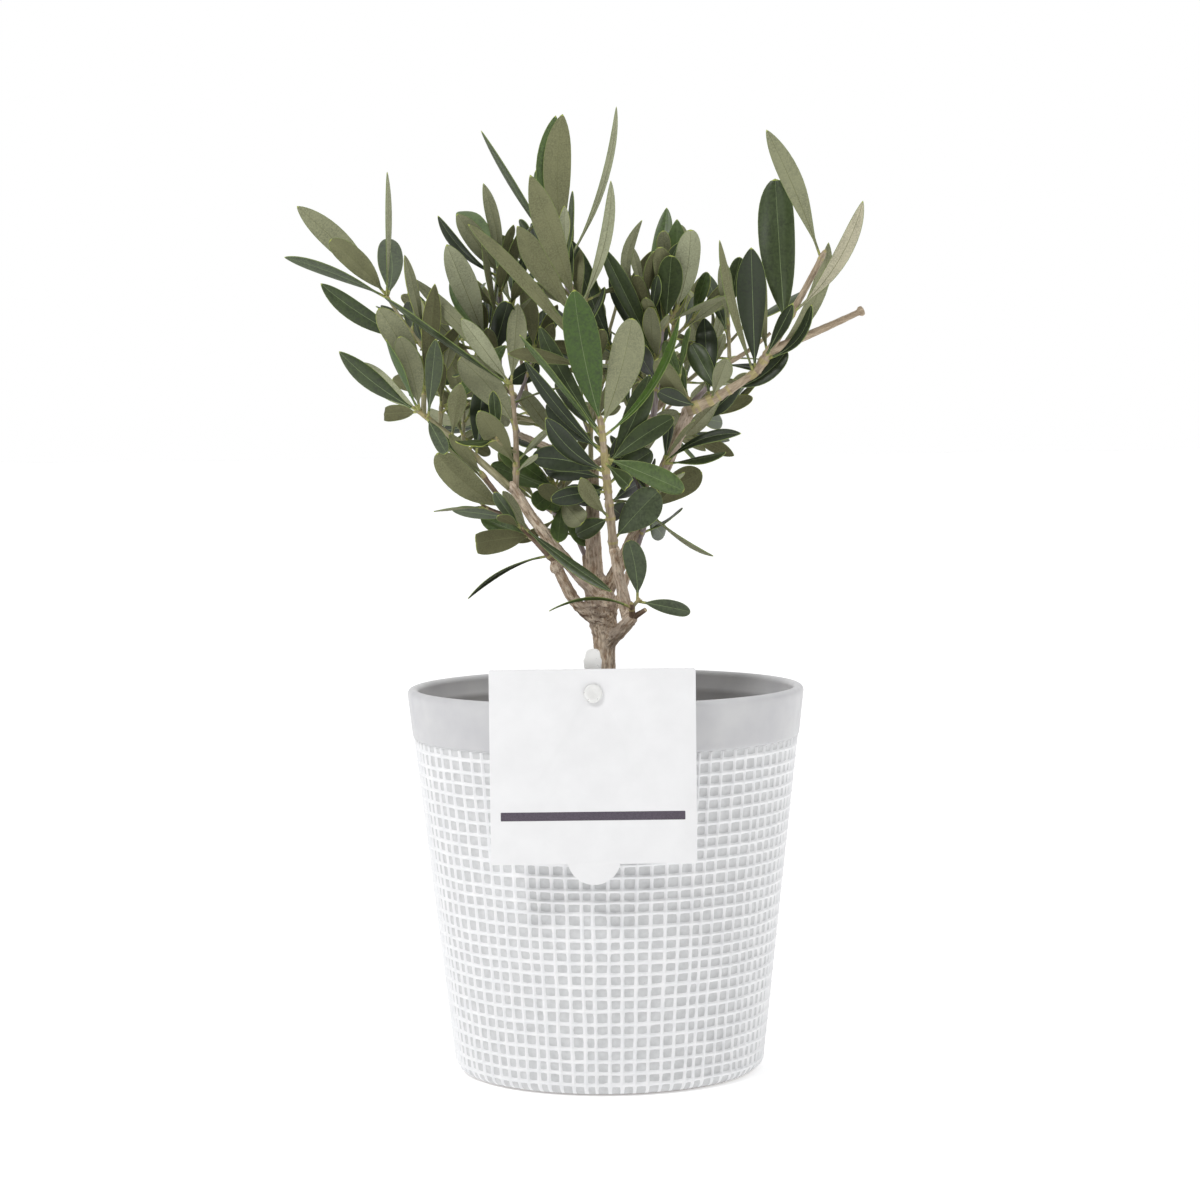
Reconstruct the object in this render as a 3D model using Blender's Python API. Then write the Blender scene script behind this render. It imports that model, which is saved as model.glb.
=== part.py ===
# A young olive tree, cut back to a short open crown, in a small ceramic pot with a plain card tag.
#
# The origin is at the centre of the pot's flat foot, +Z is up and -Y is the front. Every size is in
# millimetres, with x to the right, y to the back and z up, and the meshes are made in metres.
import math
import random

import bmesh
import bpy
from mathutils import Matrix, Vector
from mathutils.bvhtree import BVHTree

MM = 0.001
UP = Vector((0, 0, 1))
AWAY = Vector((0, 1, 0))
GAP = 0.3

# The pot, turned: a flat foot, a tapering wall and a plain band that stands a little proud at the rim.
POT_HEIGHT = 126.2
FOOT_ROUND = 4.2
FOOT_RADIUS = 50.9
RIM_RADIUS = 65.0
RIM_ROUND = 1.7
MOUTH_RADIUS = 61.45
BAND_HEIGHT = 15.8
BAND_PROUD = 0.45
WALL_RISE = (RIM_RADIUS - BAND_PROUD - FOOT_RADIUS) / (POT_HEIGHT - RIM_ROUND - FOOT_ROUND)
FLOOR_THICK = 6.0
FLOOR_ROUND = 5.0
RIDGE_DROP = 6.5
RIDGE_PROUD = 0.35
ROUND_STEPS = 3
POT_SIDES = 60

# The soil that fills the pot, with a flat top where the trunk stands and a slit for the tag's holder.
SOIL_TOP = 106.0
SOIL_SIDES = 40

# The tag: a bare card with a round lug below, pinned to a clear holder that stands in the soil.
CARD_WIDE = 64.0
CARD_TALL = 60.7
CARD_TOP = 137.3
CARD_CENTRE = -4.2
CARD_BACK = -65.4
CARD_THICK = 0.8
LUG_RADIUS = 8.3
LUG_DROP = 6.5
PIN_X = -4.0
PIN_Z = 129.8
PIN_RADIUS = 1.5
PIN_HEAD_RADIUS = 2.9
PIN_HEAD_THICK = 0.9
HOLDER_WIDE = 5.7
HOLDER_THICK = 1.2
HOLDER_TOP = 143.2
HOLDER_FOOT = 84.0
HOLDER_FOOT_Y = -55.0

# Limbs and twigs: each limb starts a hair off the end of the stub or limb that it grows from.
TRUNK_SIDES = 12
LIMB_SIDES = 8
LIMB_STEPS = 6
STUB_DROP = 10.0
STUB_LOW, STUB_HIGH = 139.0, 150.0
STUB_SWELL = 1.15
STUB_STEPS = 4
TWIG_SIDES = 3
TWIG_STEPS = 4
TWIG_TAPER = 0.6
TWIG_TIP = 0.45

# A leaf: its thickness, its stalk's height at the root, and its outline from root to tip.
LEAF_THICK = 0.7
STALK_THICK = 0.6
LEAF_LOW, LEAF_LOW_WIDE = 0.42, 0.82
LEAF_HIGH, LEAF_HIGH_WIDE = 0.80, 0.94
LEAF_CROWN = 0.60
LEAF_STALK = 0.14
LEAF_CLEAR = 0.5
LEAF_TRIES = 12
LEAF_SLIM, LEAF_BROAD = 0.21, 0.29
PAIRS_FROM, PAIRS_TO = 0.30, 0.98

# Named leaves reach forwards and back in turn by these steps, so that the crown is as deep as it is wide.
DEPTH_STEPS = (0, 10, -9, 17, -14)
# When a named leaf's place is taken it is tried this much further back and turned about its rib.
NUDGES = ((0, 0), (3, 8), (-3, -8), (6, 16), (-6, -16), (9, 20), (-9, -20), (12, 30), (-12, -30))

# The trunk's axis and radius from the flat cut at soil level up to its fork.
TRUNK = (
    (0.6, 0.4, 106.3, 6.6),
    (0.5, 0.2, 109, 5.0),
    (0.3, 0, 114, 4.2),
    (-0.1, 0, 126, 3.6),
    (-0.2, 0, 137, 3.5),
    (-0.1, 0, 143, 4.0),
    (-0.8, 0.3, 149, 5.0),
    (-1.4, 0.8, 154, 5.6),
    (-1.5, 1.0, 157, 4.2),
)

# The crown is open where the light shows through it from in front. No leaf grown by the rule stands
# over the skyline's heights or in a gap, given as (x, z, radius), as they are seen from the eye.
EYE = (-1.5, 1100, 226)
SKYLINE = (
    (-110, 215), (-85, 240), (-74, 252), (-60, 258), (-50, 264), (-42, 270), (-34, 276), (-24, 280),
    (-12, 284), (-4, 262), (6, 258), (12, 264), (20, 276), (28, 272), (33, 258), (42, 258), (52, 262),
    (72, 262), (80, 250), (110, 215),
)
GAPS = (
    (-31, 230, 4), (-24, 226, 3), (-8, 250, 4), (5, 248, 3), (-16, 219, 2.5), (26, 220, 3), (33, 230, 2.5),
    (46, 250, 4), (45, 240, 3.5), (-24, 185, 3), (-52, 255, 4), (-76, 246, 5), (58, 216, 9), (62, 224, 4),
    (74, 238, 7), (44, 210, 4), (-64, 206, 5), (-10, 166, 4),
)

# Each bough tapers between its two ends, from and to, and sags by bow of its length.
BOUGHS = {
    "low_left_bough": {"from": (-11.2, -1.5, 156.6), "to": (-16.0, -3, 167), "thick": (3.7, 3.2), "bow": 0.08},
    "left_bough": {"from": (-6.5, -3, 161), "to": (-29.5, -8, 192), "thick": (4.3, 3.2), "bow": 0.09},
    "centre_bough": {"from": (-3.8, 3, 159), "to": (-3.5, 4, 197), "thick": (4.9, 4.2), "bow": 0.0},
        "right_bough": {"from": (2.8, 4.4, 161), "to": (28, 3, 215.5), "thick": (4.4, 4.0), "bow": 0.06},
    "cross_bough": {"from": (-4.4, 4.2, 199), "to": (-27, 7, 208.5), "thick": (2.6, 2.2), "bow": 0.02,
                    "on": "centre_bough"},
    "inner_bough": {"from": (-2.2, 4.6, 199), "to": (16, 11, 213), "thick": (2.6, 2.2), "bow": 0.05,
                    "on": "centre_bough"},
    "low_right_bough": {"from": (6.0, 1.4, 157.5), "to": (9, 2.4, 166), "thick": (2.6, 2.0), "bow": 0.0},
    "low_back_bough": {"from": (-5.4, 6.6, 158), "to": (-6.2, 10, 168), "thick": (2.6, 2.2), "bow": 0.0},
    "low_spur": {"from": (4.4, -4.2, 144.0), "to": (8.3, -7.4, 148.2), "thick": (4.6, 4.0), "bow": 0.04},
    "front_bough": {"from": (7.2, -4.9, 150.9), "to": (3.2, -8, 171), "thick": (4.2, 3.0), "bow": 0.04,
                    "on": "low_spur"},
    "back_bough": {"from": (-2.0, 8.2, 159), "to": (-4, 30, 196), "thick": (4.0, 3.4), "bow": 0.08},
}

# The masses of foliage. Each shoot is (the shoot it grows on, how far up that, tip, leaf pairs, leaf
# length, turn of the last pair, opening angle, thickness, sag); the first is the stem, from the bough's
# tip. Each leaf is (its shoot, how far up that, tip, width, turn of its face, sag, sweep to its left);
# at a turn of 0 the pale underside faces the front. The rest of the leaves are grown by the rule, in
# pairs at right angles to each other, within the space: an ellipsoid's centre and half-axes.
MASSES = {
    "low_left_leaves": {
        "bough": "low_left_bough", "seed": 11, "space": ((-32, -8, 190), (40, 30, 34)),
        "shoots": [
            (0, 0, (-39, -9, 196), 2, 22, 70, 30, 2.4),
        ],
        "leaves": [
            (0, 0.62, (-53.5, -18, 203.5), 9.5, 0, 0.03, 0.06),
            (0, 0.50, (-50, -2, 184), 4.5, 150, -0.03, -0.03),
            (0, 0.30, (-43.5, -14, 174), 8, 0, 0.03, -0.02),
            (0, 0.06, (-45, -16, 155), 4, 116, 0.0, -0.09),
            (0, 0.42, (2.4, -13, 158.6), 4.2, 150, -0.03, -0.03),
        ],
    },
    "left_outer_leaves": {
        "bough": "left_bough", "seed": 12, "space": ((-66, -6, 240), (45, 45, 60)),
        "aside": (-1.6, -0.5, 0.2), "bow": -0.03,
        "shoots": [
            (0, 0, (-60, -12, 217.5), 0, 22, 0, 30, 2.5),
            (0, 0.93, (-57.5, -6, 237), 3, 24, 80, 30, 1.9),
            (1, 1.0, (-70, -4, 255), 2, 20, 60, 25, 1.5),
            (0, 0.5, (-46, 20, 218), 3, 22, 60, 30, 1.5),
            (0, 0.75, (-52, 6, 234), 3, 24, 20, 25, 1.5),
        ],
        "leaves": [
            (0, 0.97, (-84.3, -20, 236.5), 6.6, 170, -0.03, 0.035),
            (0, 0.97, (-64.6, -34, 241), 7.6, 3, 0.03, -0.03),
            (0, 0.97, (-68.4, -20, 240), 5.5, 122, 0.0, 0.02),
            (0, 0.97, (-72.5, -20, 216), 5.6, 8, 0.0),
            (0, 0.90, (-50, -12, 203.5), 5, 180, 0.0),
            (2, 1.0, (-99.5, 8, 284.4), 8.0, 0, -0.02, -0.02),
            (2, 0.97, (-87, -26, 272.2), 7.4, 5, 0.03, -0.03),
            (2, 0.92, (-103.5, 12, 267.6), 5, 137, -0.02, -0.045),
            (2, 0.95, (-70.8, 4, 274), 8.4, 182, 0.0, -0.05),
            (2, 1.0, (-67.0, -22, 292.6), 4.2, 68, 0.02, 0.01),
            (2, 0.1, (-90.5, -12, 258.5), 6.5, 170, -0.03, 0.04),
            (1, 0.42, (-71.3, -32, 250), 8.4, 2, 0.05, -0.02),
            (1, 1.0, (-63, -8, 267.2), 4.2, 30, 0.0, -0.02),
            (0, 0.35, (-39, -16, 225), 6.5, 180, 0.0),
            (0, 0.62, (-45, -18, 226), 6, 0, 0.02),
            (1, 0.3, (-53.5, -14, 258), 6.0, 10, 0.0),
            (0, 0.93, (-78.5, -6, 233), 6.4, 0, 0.0, 0.03),
            (0, 0.88, (-52.5, -24, 240), 6.0, 165, 0.0),
            (0, 0.45, (-33, -12, 210), 5, 170, 0.0),
            (4, 0.2, (-31, 4, 238), 6, 175, 0.0),
        ],
    },
    "left_upright_leaves": {
        "bough": "left_bough", "seed": 13, "space": ((-34, -16, 225), (42, 36, 40)),
        "aside": (1.5, -0.2, 0.9), "bow": (1.5, 0, 0),
        "shoots": [
            (0, 0, (-29.5, -16, 226), 0, 20, 70, 30, 2.1),
            (0, 0.3, (-34, -28, 208), 1, 18, 40, 30, 1.2),
        ],
        "leaves": [
            (0, 1.0, (-69, -34, 253.6), 5.4, 114, -0.02),
            (0, 0.98, (-44.8, -34, 246.5), 6.4, 0, 0.03),
            (0, 0.9, (-62, 2, 260.5), 4.8, 10, 0.02, -0.03),
            (0, 0.98, (-27, -26, 251.5), 6.5, 10, 0.0),
            (0, 0.17, (-39, -28, 217.2), 8, 0, 0.02),
            (0, 0.55, (-46, -16, 234), 10, 0, 0.05, -0.06),
            (0, 0.2, (-17, -24, 211), 4, 60, 0.0),
            (0, 0.1, (-21, -20, 203), 3, 50, 0.0),
        ],
    },
    "left_back_leaves": {
        "bough": "cross_bough", "seed": 14, "space": ((-38, 8, 245), (36, 36, 52)),
        "shoots": [
            (0, 0, (-38, 8, 240), 3, 26, 20, 25, 2.0),
            (0, 0.55, (-33, 6, 262), 5, 27, 30, 22, 1.6),
            (0, 0.75, (-47, 16, 243), 4, 24, 30, 30, 1.5),
            (0, 0.3, (-40, 22, 222), 3, 22, 60, 30, 1.5),
            (0, 0.2, (-22, 12, 236), 3, 24, 20, 25, 1.5),
        ],
        "leaves": [
            (0, 1.0, (-49.3, -20, 270.3), 8.6, 0, 0.0, 0.0),
            (0, 1.0, (-50, 4, 259), 6, 170, 0.0),
            (1, 0.95, (-52.5, 0, 280), 5, 125, -0.05, 0.03),
            (1, 1.0, (-48, 14, 283), 8, 180, -0.06, -0.06),
            (1, 0.98, (-46, -4, 280), 7, 0, 0.02),
            (1, 1.0, (-37.8, -6, 290.4), 4.6, 5, 0.02, -0.04),
            (1, 0.4, (-38.3, -22, 271), 4.6, 70, 0.0),
            (0, 0.8, (-30, -6, 252), 7.5, 175, 0.0),
            (0, 0.5, (-21, -4, 232), 7, 170, 0.0),
        ],
    },
    "front_leaves": {
        "bough": "front_bough", "seed": 15, "space": ((-6, -16, 235), (42, 34, 84)),
        "bow": 0.0,
        "shoots": [
            (0, 0, (-0.5, -18, 213), 0, 22, 70, 30, 3.0),
            (0, 0.92, (-11.5, -8, 268), 4, 26, 20, 22, 1.8),
            (1, 0.62, (-4, 0, 256), 3, 26, 70, 28, 1.3),
        ],
        "leaves": [
            (0, 0.98, (-8.6, -36, 255), 11.6, 185, 0.04, 0.02),
            (0, 0.96, (9.8, -34, 246), 10.6, 0, 0.02, -0.03),
            (0, 0.88, (24.8, -24, 246.3), 5.2, 125, 0.06, -0.05),
            (0, 0.62, (15.4, -28, 228), 8.2, 178, 0.03, -0.04),
            (0, 0.86, (-26, -24, 241), 5, 120, 0.05, 0.04),
            (0, 0.90, (-20, -14, 244), 6.5, 172, 0.02, 0.04),
            (0, 0.78, (-18, -22, 219), 6.4, 175, -0.03, 0.04),
            (0, 0.62, (-18, -34, 214.8), 6.8, 178, -0.03, 0.06),
            (0, 0.72, (26, -36, 190.4), 7.2, 190, -0.05, 0.02),
            (0, 0.68, (10, -28, 191), 5, 190, 0.0),
            (0, 0.24, (-7.2, -28, 195.4), 5.4, 0, 0.0, 0.04),
            (0, 0.06, (18, -15, 190), 11.2, 172, 0.0, 0.02),
            (0, 0.60, (-23, -4, 201.5), 8, 175, 0.0, -0.06),
            (0, 0.55, (-19, -10, 196), 7, 170, -0.03, -0.05),
            (0, 0.45, (-17, -4, 188), 6, 175, 0.0, -0.04),
            (0, 0.50, (16, -4, 203), 8, 180, 0.0, 0.03),
            (0, 0.35, (17, -2, 194), 7, 180, 0.0, 0.03),
            (0, 0.66, (23, -4, 214), 7, 180, 0.0, 0.03),
            (0, 0.70, (12, -6, 208), 8, 175, 0.0),
            (1, 0.72, (-22, -24, 291), 8.6, 0, 0.03, -0.01),
            (1, 0.74, (-21, 4, 295), 8, 180, 0.02),
            (1, 1.0, (-11.8, -18, 312.2), 9.2, 0, 0.03, 0.05),
            (1, 1.0, (-14.0, -2, 311.8), 8.6, 180, 0.03, 0.07),
            (1, 0.94, (5.7, -4, 316.2), 3.2, 40, 0.0, -0.06),
            (1, 0.9, (-37.6, -14, 305.8), 4.6, 118, -0.04, -0.02),
            (1, 0.92, (-8.8, -18, 287), 4.4, 120, 0.0),
            (1, 0.66, (3.5, -20, 290.6), 4.4, 20, 0.03, -0.06),
            (1, 0.6, (-27, 2, 276.5), 8, 0, 0.03),
            (1, 0.42, (-42.6, -34, 276.8), 5.4, 18, 0.03, -0.02),
            (1, 0.35, (-30, -14, 235), 5, 20, -0.03, -0.05),
            (0, 0.74, (-24.7, -26, 233), 5.4, 150, 0.03, 0.05),
            (0, 0.62, (9, -8, 200), 7.5, 180, 0.0, 0.03),
            (0, 0.35, (6, 8, 182), 7, 175, 0.0),
            (0, 0.50, (-10, -14, 187), 7.5, 180, 0.0),
            (0, 0.25, (-9, 14, 176), 6.5, 170, 0.0),
        ],
    },
    "centre_right_leaves": {
        "bough": "inner_bough", "seed": 16, "space": ((17, 8, 245), (32, 38, 44)),
        "shoots": [
            (0, 0, (20, 7, 243), 3, 26, 0, 30, 2.2),
            (0, 0.6, (13.5, 4, 257), 4, 24, 30, 30, 1.5),
            (0, 1.0, (25, 4, 250), 2, 24, 60, 22, 1.5),
            (0, 0.8, (31, 12, 247), 3, 20, 30, 25, 1.3),
            (0, 0.3, (4, 14, 236), 4, 24, 20, 28, 1.5),
        ],
        "leaves": [
            (1, 0.05, (0.4, -10, 269.5), 6.4, 172, 0.0, 0.0),
            (1, 1.0, (22, 6, 283), 6, 170, 0.03, -0.06),
            (1, 0.7, (13.6, 0, 278), 4.4, 25, 0.12, 0.26),
            (1, 0.8, (10.2, -6, 270.6), 3.8, 30, 0.0),
            (4, 1.0, (-9.5, 4, 272), 7.4, 170, 0.0, 0.02),
            (2, 0.8, (29, -12, 274.5), 8.5, 5, 0.03, -0.04),
            (2, 0.9, (26, -4, 277), 7, 0, 0.03),
            (2, 1.0, (25, 10, 278.5), 7, 180, 0.0),
            (2, 0.2, (22.8, -30, 266.2), 8.2, 180, 0.03),
            (2, 0.6, (19, 0, 269), 7, 0, 0.0),
            (3, 0.9, (35, 10, 261.5), 5, 150, 0.0),
            (0, 0.6, (3, 14, 262), 8, 175, 0.0),
            (0, 0.4, (10, -6, 238), 7, 175, 0.0),
            (0, 0.3, (22, -4, 226), 7, 0, 0.0),
        ],
    },
    "right_outer_leaves": {
        "bough": "right_bough", "seed": 17, "space": ((55, -2, 250), (44, 40, 60)),
        "aside": (0.7, -1.6, -0.2), "bow": 0.07,
        "shoots": [
            (0, 0, (51, -1, 229), 0, 22, 0, 30, 3.7),
            (0, 0.98, (72, -6, 266), 0, 14, 40, 20, 3.0, 0.05),
            (1, 0.18, (86.6, 8, 248.6), 0, 0, 0, 0, 3.2, 0.02),
        ],
        "leaves": [
            (1, 1.0, (54, -6, 306.6), 6.9, 0, -0.03, -0.02),
            (1, 0.50, (84.2, -28, 282.8), 5.6, 14, 0.04, -0.07),
            (1, 0.08, (74.5, 12, 270.5), 5.6, 0, -0.02, -0.12),
            (1, 0.40, (57.4, -10, 291.6), 12.4, 180, 0.02, 0.0),
            (1, 0.15, (52.6, 38, 266.5), 5.6, 0, 0.0, 0.02),
            (0, 0.95, (48.6, -10, 268.6), 9.8, 180, 0.02),
            (0, 0.93, (37.8, -36, 270.5), 3.6, 34, 0.0, 0.02),
            (1, 0.10, (61.5, -10, 250), 4.6, 165, 0.0),
            (0, 0.55, (60.5, -16, 235.2), 6.4, 165, 0.0, -0.10),
            (1, 0.10, (67.5, -4, 249.8), 4.8, 140, 0.0, -0.14),
            (0, 0.55, (27, 6, 207.5), 5, 0, 0.03, 0.0),
            (0, 0.88, (34, 0, 213.5), 5.5, 170, 0.0, 0.0),
            (0, 0.28, (40, -14, 233), 6, 10, 0.0),
            (0, 0.25, (34, -4, 246.5), 7.4, 180, 0.0),
            (0, 0.03, (17.6, 6, 233), 6.5, 0, 0.0, 0.04),
            (0, 0.10, (18, -12, 222.5), 5.5, 178, 0.0, 0.03),
            (0, 0.40, (29.5, -2, 238), 7, 176, 0.0, 0.0),
        ],
    },
    "right_inner_leaves": {
        "bough": "right_bough", "seed": 18, "space": ((36, 10, 238), (30, 34, 42)),
        "aside": (-0.6, 1.4, 0.6), "bow": 0.04,
        "shoots": [
            (0, 0, (42, 8, 232), 0, 20, 60, 40, 2.0),
            (0, 1.0, (41.5, 6, 252), 1, 17, 0, 14, 1.4),
            (0, 0.97, (56, 12, 241.5), 0, 0, 0, 0, 1.7),
            (0, 0.10, (25, -4, 226), 3, 20, 30, 30, 1.4),
            (0, 0.5, (36, 24, 238), 4, 22, 30, 28, 1.4),
        ],
        "leaves": [
            (1, 0.8, (45.5, 2, 266), 5.5, 180, 0.0),
            (1, 0.9, (35, 6, 250), 4, 20, 0.0),
            (1, 0.6, (39.5, 0, 265), 5, 10, 0.0),
            (1, 0.4, (35, 10, 262), 5, 175, 0.0),
        ],
    },
    "low_right_leaves": {
        "bough": "low_right_bough", "seed": 19, "space": ((18, 0, 186), (34, 26, 30)),
        "bow": 0.06,
        "shoots": [
            (0, 0, (20, -3, 199.5), 3, 22, 40, 35, 1.8),
            (0, 0.5, (10, 4, 196), 3, 20, 20, 30, 1.2),
        ],
        "leaves": [
            (0, 1.0, (45, -8, 208.5), 5, 130, -0.04, 0.08),
            (0, 0.5, (32.4, -10, 195.8), 9.0, 0, -0.03, 0.06),
            (0, 0.5, (35.5, -4, 169), 4, 68, 0.0, -0.04),
            (0, 0.45, (20, 4, 174), 6, 170, -0.03),
        ],
    },
    "spur_leaves": {
        "bough": "low_spur", "seed": 20, "space": ((5, -10, 160), (32, 20, 24)),
        "bow": 0.0,
        "shoots": [
            (0, 0, (13.4, -11, 151.8), 0, 20, 40, 35, 2.4),
            (0, 0.08, (8.8, -12, 153.2), 0, 20, 40, 35, 2.6, 0.0),
            (1, 0.85, (10.8, -12.6, 154.8), 0, 20, 40, 35, 1.5, 0.0),
        ],
        "leaves": [
            (2, 0.9, (7.8, -14, 174.5), 7.2, 180, 0.02, -0.05),
            (2, 0.9, (28, -16, 150.5), 5.2, 165, -0.03, 0.0),
            (1, 0.8, (-18, -18, 152.6), 2.8, 118, 0.0, -0.12),
        ],
    },
    "low_back_leaves": {
        "bough": "low_back_bough", "seed": 24, "space": ((-16, 12, 190), (28, 28, 32)),
        "bow": 0.06,
        "shoots": [
            (0, 0, (-16, 10, 192), 3, 22, 20, 36, 1.8),
            (0, 0.5, (-22, 22, 186), 4, 22, 50, 35, 1.3),
        ],
        "leaves": [
            (0, 0.95, (-22.5, 2, 185), 7, 180, 0.0),
            (0, 0.98, (-17.5, -2, 183.5), 7, 180, 0.0),
            (0, 0.75, (-15, 0, 174), 6, 175, 0.0),
            (0, 1.0, (-12, 2, 180), 7, 180, 0.0),
            (0, 0.9, (-6, -1, 190), 6, 170, 0.0),
            (0, 0.7, (-5, 6, 172), 6, 175, 0.0),
            (0, 0.35, (-4, -2, 182), 6.5, 0, 0.0),
            (0, 0.8, (-7, 0, 180), 8, 0, 0.0),
            (0, 0.6, (-27, 4, 200), 6, 170, 0.0),
            (0, 0.95, (-34, 0, 205), 6.5, 175, 0.0),
            (0, 0.9, (-37, 8, 199), 6, 175, 0.0),
        ],
    },
    "back_left_leaves": {
        "bough": "back_bough", "seed": 21, "space": ((-36, 40, 232), (46, 44, 48)),
        "aside": (-1.0, 0.6, 0.2),
        "shoots": [
            (0, 0, (-32, 42, 224), 2, 24, 40, 30, 1.9),
            (0, 0.9, (-54, 36, 246), 4, 26, 20, 28, 1.5),
            (0, 0.7, (-30, 50, 252), 4, 26, 50, 28, 1.5),
            (0, 0.4, (-30, 62, 222), 3, 24, 20, 30, 1.5),
            (0, 0.6, (-52, 50, 222), 3, 24, 20, 30, 1.4),
        ],
        "leaves": [],
    },
    "back_right_leaves": {
        "bough": "back_bough", "seed": 22, "space": ((32, 40, 232), (46, 44, 48)),
        "aside": (1.0, 0.6, 0.2),
        "shoots": [
            (0, 0, (28, 40, 226), 2, 24, 40, 30, 1.9),
            (0, 0.9, (48, 34, 244), 4, 26, 20, 28, 1.5),
            (0, 0.7, (26, 50, 254), 4, 26, 50, 28, 1.5),
            (0, 0.4, (26, 62, 220), 3, 24, 20, 30, 1.5),
            (0, 0.5, (42, 44, 216), 3, 24, 20, 30, 1.4),
        ],
        "leaves": [],
    },
    "back_top_leaves": {
        "bough": "back_bough", "seed": 23, "space": ((-4, 34, 250), (34, 36, 50)),
        "aside": (0.0, -1.0, 0.3),
        "shoots": [
            (0, 0, (-4, 32, 240), 2, 24, 40, 30, 1.8),
            (0, 0.8, (-14, 30, 268), 4, 26, 20, 24, 1.5),
            (0, 0.6, (8, 38, 262), 4, 26, 50, 24, 1.5),
            (0, 0.3, (2, 56, 234), 3, 24, 50, 24, 1.4),
        ],
        "leaves": [],
    },
}


def clear_scene():
    for thing in list(bpy.data.objects):
        bpy.data.objects.remove(thing)


def finish(name, colour, roughness, transmission=0.0):
    """A plain Principled finish, its colour given as linear values."""
    look = bpy.data.materials.new(name)
    look.use_nodes = True
    shader = look.node_tree.nodes["Principled BSDF"]
    shader.inputs["Base Color"].default_value = (*colour, 1.0)
    shader.inputs["Roughness"].default_value = roughness
    shader.inputs["Transmission Weight"].default_value = transmission
    look.diffuse_color = (*colour, 1.0)
    return look


def solid(name, verts, faces, look, smooth=False):
    mesh = bpy.data.meshes.new(name)
    mesh.from_pydata([tuple(v * MM) for v in verts], [], faces)
    mesh.materials.append(look)
    thing = bpy.data.objects.new(name, mesh)
    bpy.context.scene.collection.objects.link(thing)
    if smooth:
        mesh.shade_smooth()
        mesh.set_sharp_from_angle(angle=math.radians(38))
    return thing


def turned(name, profile, sides, look):
    """Spins a profile of (radius, height) points, from the axis at the foot round to the axis again."""
    bm = bmesh.new()
    verts = [bm.verts.new((r * MM, 0, z * MM)) for r, z in profile]
    edges = [bm.edges.new(pair) for pair in zip(verts, verts[1:])]
    bmesh.ops.spin(bm, geom=verts + edges, cent=(0, 0, 0), axis=(0, 0, 1), angle=math.tau, steps=sides)
    bmesh.ops.remove_doubles(bm, verts=bm.verts, dist=0.001 * MM)
    bmesh.ops.recalc_face_normals(bm, faces=bm.faces)
    mesh = bpy.data.meshes.new(name)
    bm.to_mesh(mesh)
    bm.free()
    mesh.materials.append(look)
    mesh.shade_smooth()
    mesh.set_sharp_from_angle(angle=math.radians(38))
    thing = bpy.data.objects.new(name, mesh)
    bpy.context.scene.collection.objects.link(thing)
    return thing


def plate(name, outline, low, high, look):
    """Extrudes an outline of (x, z) points from y = low to y = high."""
    count = len(outline)
    verts = [Vector((x, low, z)) for x, z in outline] + [Vector((x, high, z)) for x, z in outline]
    faces = [tuple(range(count)), tuple(range(2 * count - 1, count - 1, -1))]
    for j in range(count):
        k = (j + 1) % count
        faces.append((k, j, j + count, k + count))
    return solid(name, verts, faces, look)


def arc(centre, radius, start, end, steps):
    """Points round a centre, from the start angle to the end angle in degrees."""
    angles = [math.radians(start + (end - start) * k / steps) for k in range(steps + 1)]
    return [(centre[0] + radius * math.cos(a), centre[1] + radius * math.sin(a)) for a in angles]


def combine(thing, operation, others):
    """Joins the others to a solid, or cuts them from it, and removes them."""
    group = bpy.data.collections.new(thing.name + "_tools")
    bpy.context.scene.collection.children.link(group)
    for other in others:
        bpy.context.scene.collection.objects.unlink(other)
        group.objects.link(other)
    step = thing.modifiers.new("combine", "BOOLEAN")
    step.operation = operation
    step.operand_type = "COLLECTION"
    step.collection = group
    step.solver = "EXACT"
    graph = bpy.context.evaluated_depsgraph_get()
    result = bpy.data.meshes.new_from_object(thing.evaluated_get(graph))
    thing.modifiers.clear()
    thing.data = result
    for other in others:
        bpy.data.objects.remove(other)
    bpy.data.collections.remove(group)


def wall_radius(z):
    """The outside of the pot's wall, below the band's step."""
    return FOOT_RADIUS + WALL_RISE * (z - FOOT_ROUND)


def inner_radius(z):
    return MOUTH_RADIUS - WALL_RISE * (POT_HEIGHT - RIM_ROUND - z)


def make_pot():
    band_foot = POT_HEIGHT - BAND_HEIGHT
    rim_height = POT_HEIGHT - RIM_ROUND
    ridge = POT_HEIGHT - RIDGE_DROP
    floor_edge = FLOOR_THICK + FLOOR_ROUND
    profile = [(0, 0)]
    profile += arc((FOOT_RADIUS - FOOT_ROUND, FOOT_ROUND), FOOT_ROUND, -90, 0, ROUND_STEPS)
    profile += [
        (wall_radius(band_foot) - 0.05, band_foot - 0.5),
        (wall_radius(band_foot) + BAND_PROUD, band_foot + BAND_PROUD),
    ]
    profile += arc((RIM_RADIUS - RIM_ROUND, rim_height), RIM_ROUND, 0, 90, ROUND_STEPS)
    profile += arc((MOUTH_RADIUS + RIM_ROUND, rim_height), RIM_ROUND, 90, 180, ROUND_STEPS)
    profile += [
        (inner_radius(ridge + 0.9), ridge + 0.9),
        (inner_radius(ridge) - RIDGE_PROUD, ridge),
        (inner_radius(ridge - 0.9), ridge - 0.9),
    ]
    profile += arc((inner_radius(floor_edge) - FLOOR_ROUND, floor_edge), FLOOR_ROUND, 0, -90, ROUND_STEPS)
    profile.append((0, FLOOR_THICK))
    return turned("pot", profile, POT_SIDES, finish("glazed_stoneware", (0.60, 0.60, 0.60), 0.35))


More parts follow.
